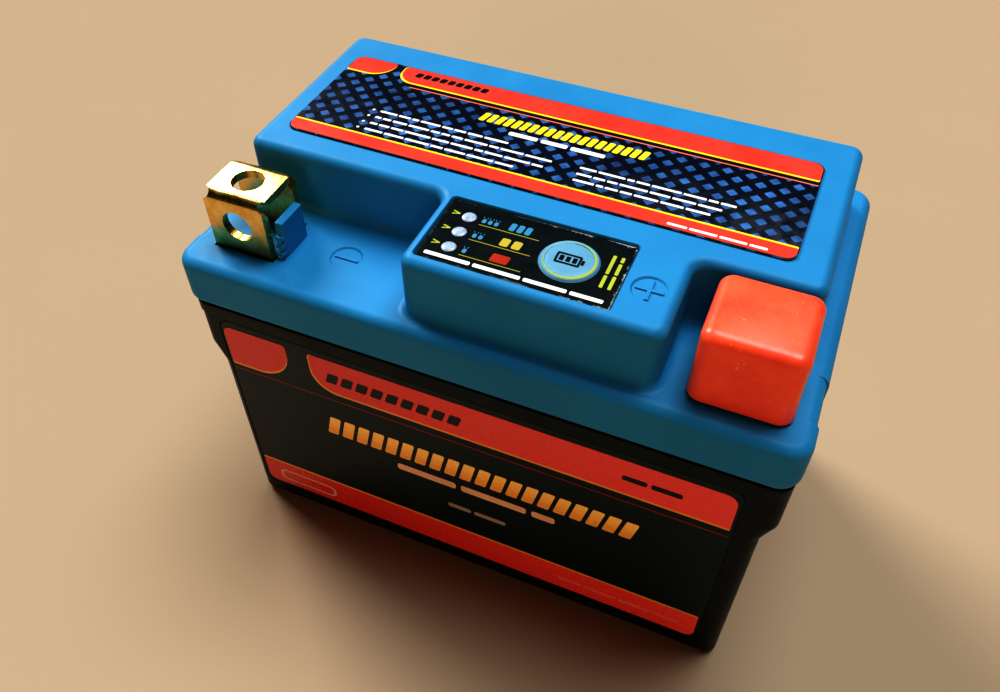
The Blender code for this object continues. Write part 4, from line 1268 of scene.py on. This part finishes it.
def dress_inner_nodes(paints):
    """Gives each CAD node that stays its finish."""
    rules = (
        ("cell_spacer", "foam"), ("cell", "foil"), ("tab_link", "nickel"), ("end_tab", "nickel"),
        ("balance_board", "board"), ("balance_", "chip"), ("indicator_board", "board"),
        ("board_screw", "steel"), ("led", "led"), ("switch_body", "steel"),
        ("switch_plunger", "chip"), ("negative_lead", "black_wire"), ("positive_lead", "red_wire"),
        ("indicator_wire_negative", "black_wire"), ("indicator_wire_positive", "red_wire"),
        ("foam", "foam"), ("lid_seal", "seal"),
    )
    for name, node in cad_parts.items():
        if node.hide_render:
            continue
        paint = next(finish for start, finish in rules if name.startswith(start))
        for slot in node.material_slots:
            slot.material = paints[paint]


INKS = {
    "gold_line": (0.78, 0.42, 0.07),
    "yellow": (0.90, 0.68, 0.04),
    "dull_red": (0.28, 0.02, 0.03),
    "tan": (0.70, 0.52, 0.33),
    "grey_ink": (0.35, 0.33, 0.30),
    "pale_ink": (0.62, 0.55, 0.52),
    "pink_ink": (0.80, 0.22, 0.16),
    "black_ink": (0.010, 0.010, 0.012),
    "white_ink": (0.80, 0.80, 0.80),
    "blue_ink": (0.07, 0.30, 0.48),
    "straw": (0.50, 0.42, 0.07),
    "lime": (0.46, 0.52, 0.06),
    "lime_dull": (0.42, 0.50, 0.08),
    "olive": (0.35, 0.33, 0.04),
    "warm_red": (0.42, 0.045, 0.022),
}

# Plastics: name, light colour, dark colour, roughness and, where not 0.2 mm, size of the grain
PLASTICS = {
    "button": ("button_pale_blue", (0.14, 0.35, 0.49), (0.12, 0.315, 0.45), 0.34),
    "chip": ("component_black", (0.022, 0.022, 0.024), (0.012, 0.012, 0.013), 0.5),
    "led": ("led_ceramic", (0.80, 0.79, 0.70), (0.70, 0.69, 0.60), 0.4),
    "seal": ("seal_bead", (0.05, 0.05, 0.05), (0.03, 0.03, 0.03), 0.6, 0.5),
    "black_wire": ("wire_black", (0.02, 0.02, 0.02), (0.01, 0.01, 0.01), 0.4),
    "red_wire": ("wire_red", (0.60, 0.02, 0.015), (0.48, 0.012, 0.010), 0.38),
}


def make_paints():
    paints = {
        "lid": moulded_plastic(
            "lid_blue", (0.024, 0.252, 0.490), (0.020, 0.226, 0.450), 0.46, 0.18, (0.10, 0.42, 0.82)
        ),
        "case": moulded_plastic(
            "case_black", (0.0040, 0.0125, 0.0150), (0.0028, 0.0085, 0.0105), 0.34, 0.2,
            (0.05, 0.05, 0.055),
        ),
        "brass": brass_plate(),
        "boot": boot_rubber(),
        "indicator_black": indicator_face(),
        "lens": clear_lens(),
        "lattice": lattice_film((4.1, 1.95), (1.05, 0.95)),
        "front_black": printed_film(
            "label_black", (0.002, 0.018, 0.023), (0.0015, 0.013, 0.017), coat=0.0
        ),
        "front_red": graded_ink(
            "label_red_front", (0.56, 0.042, 0.036), (0.78, 0.092, 0.072), -50.0, 50.0, "X"
        ),
        "top_red": printed_film("label_red_top", (0.64, 0.078, 0.052), (0.58, 0.062, 0.040)),
        "gold": graded_ink("ink_gold", (0.76, 0.42, 0.07), (0.92, 0.70, 0.20), 32.5, 38.0, "Z"),
        "board": circuit_board(),
        "steel": thin_metal("steel_bright", (0.66, 0.66, 0.67), (0.50, 0.50, 0.52), 0.28),
        "nickel": thin_metal("nickel_strip", (0.72, 0.69, 0.63), (0.56, 0.53, 0.48), 0.3),
        "foil": cell_foil(),
        "foam": foam_sheet(),
    }
    for name, colour in INKS.items():
        paints[name] = printed_film("ink_" + name.removesuffix("_ink"), colour)
    for name, values in PLASTICS.items():
        paints[name] = plain_plastic(*values)
    return paints


def main():
    make_camera()
    paints = make_paints()
    make_case(paints["case"])
    make_lid(paints["lid"])
    make_front_label(paints)
    make_top_label(paints)
    make_terminal("negative_terminal", paints["brass"])
    make_terminal("positive_terminal", paints["brass"])
    make_boot(paints["boot"])
    make_indicator_film(paints["indicator_black"])
    make_windows(paints["lens"])
    make_indicator_print(paints)
    make_button(paints)
    dress_inner_nodes(paints)
    make_setting()


main()
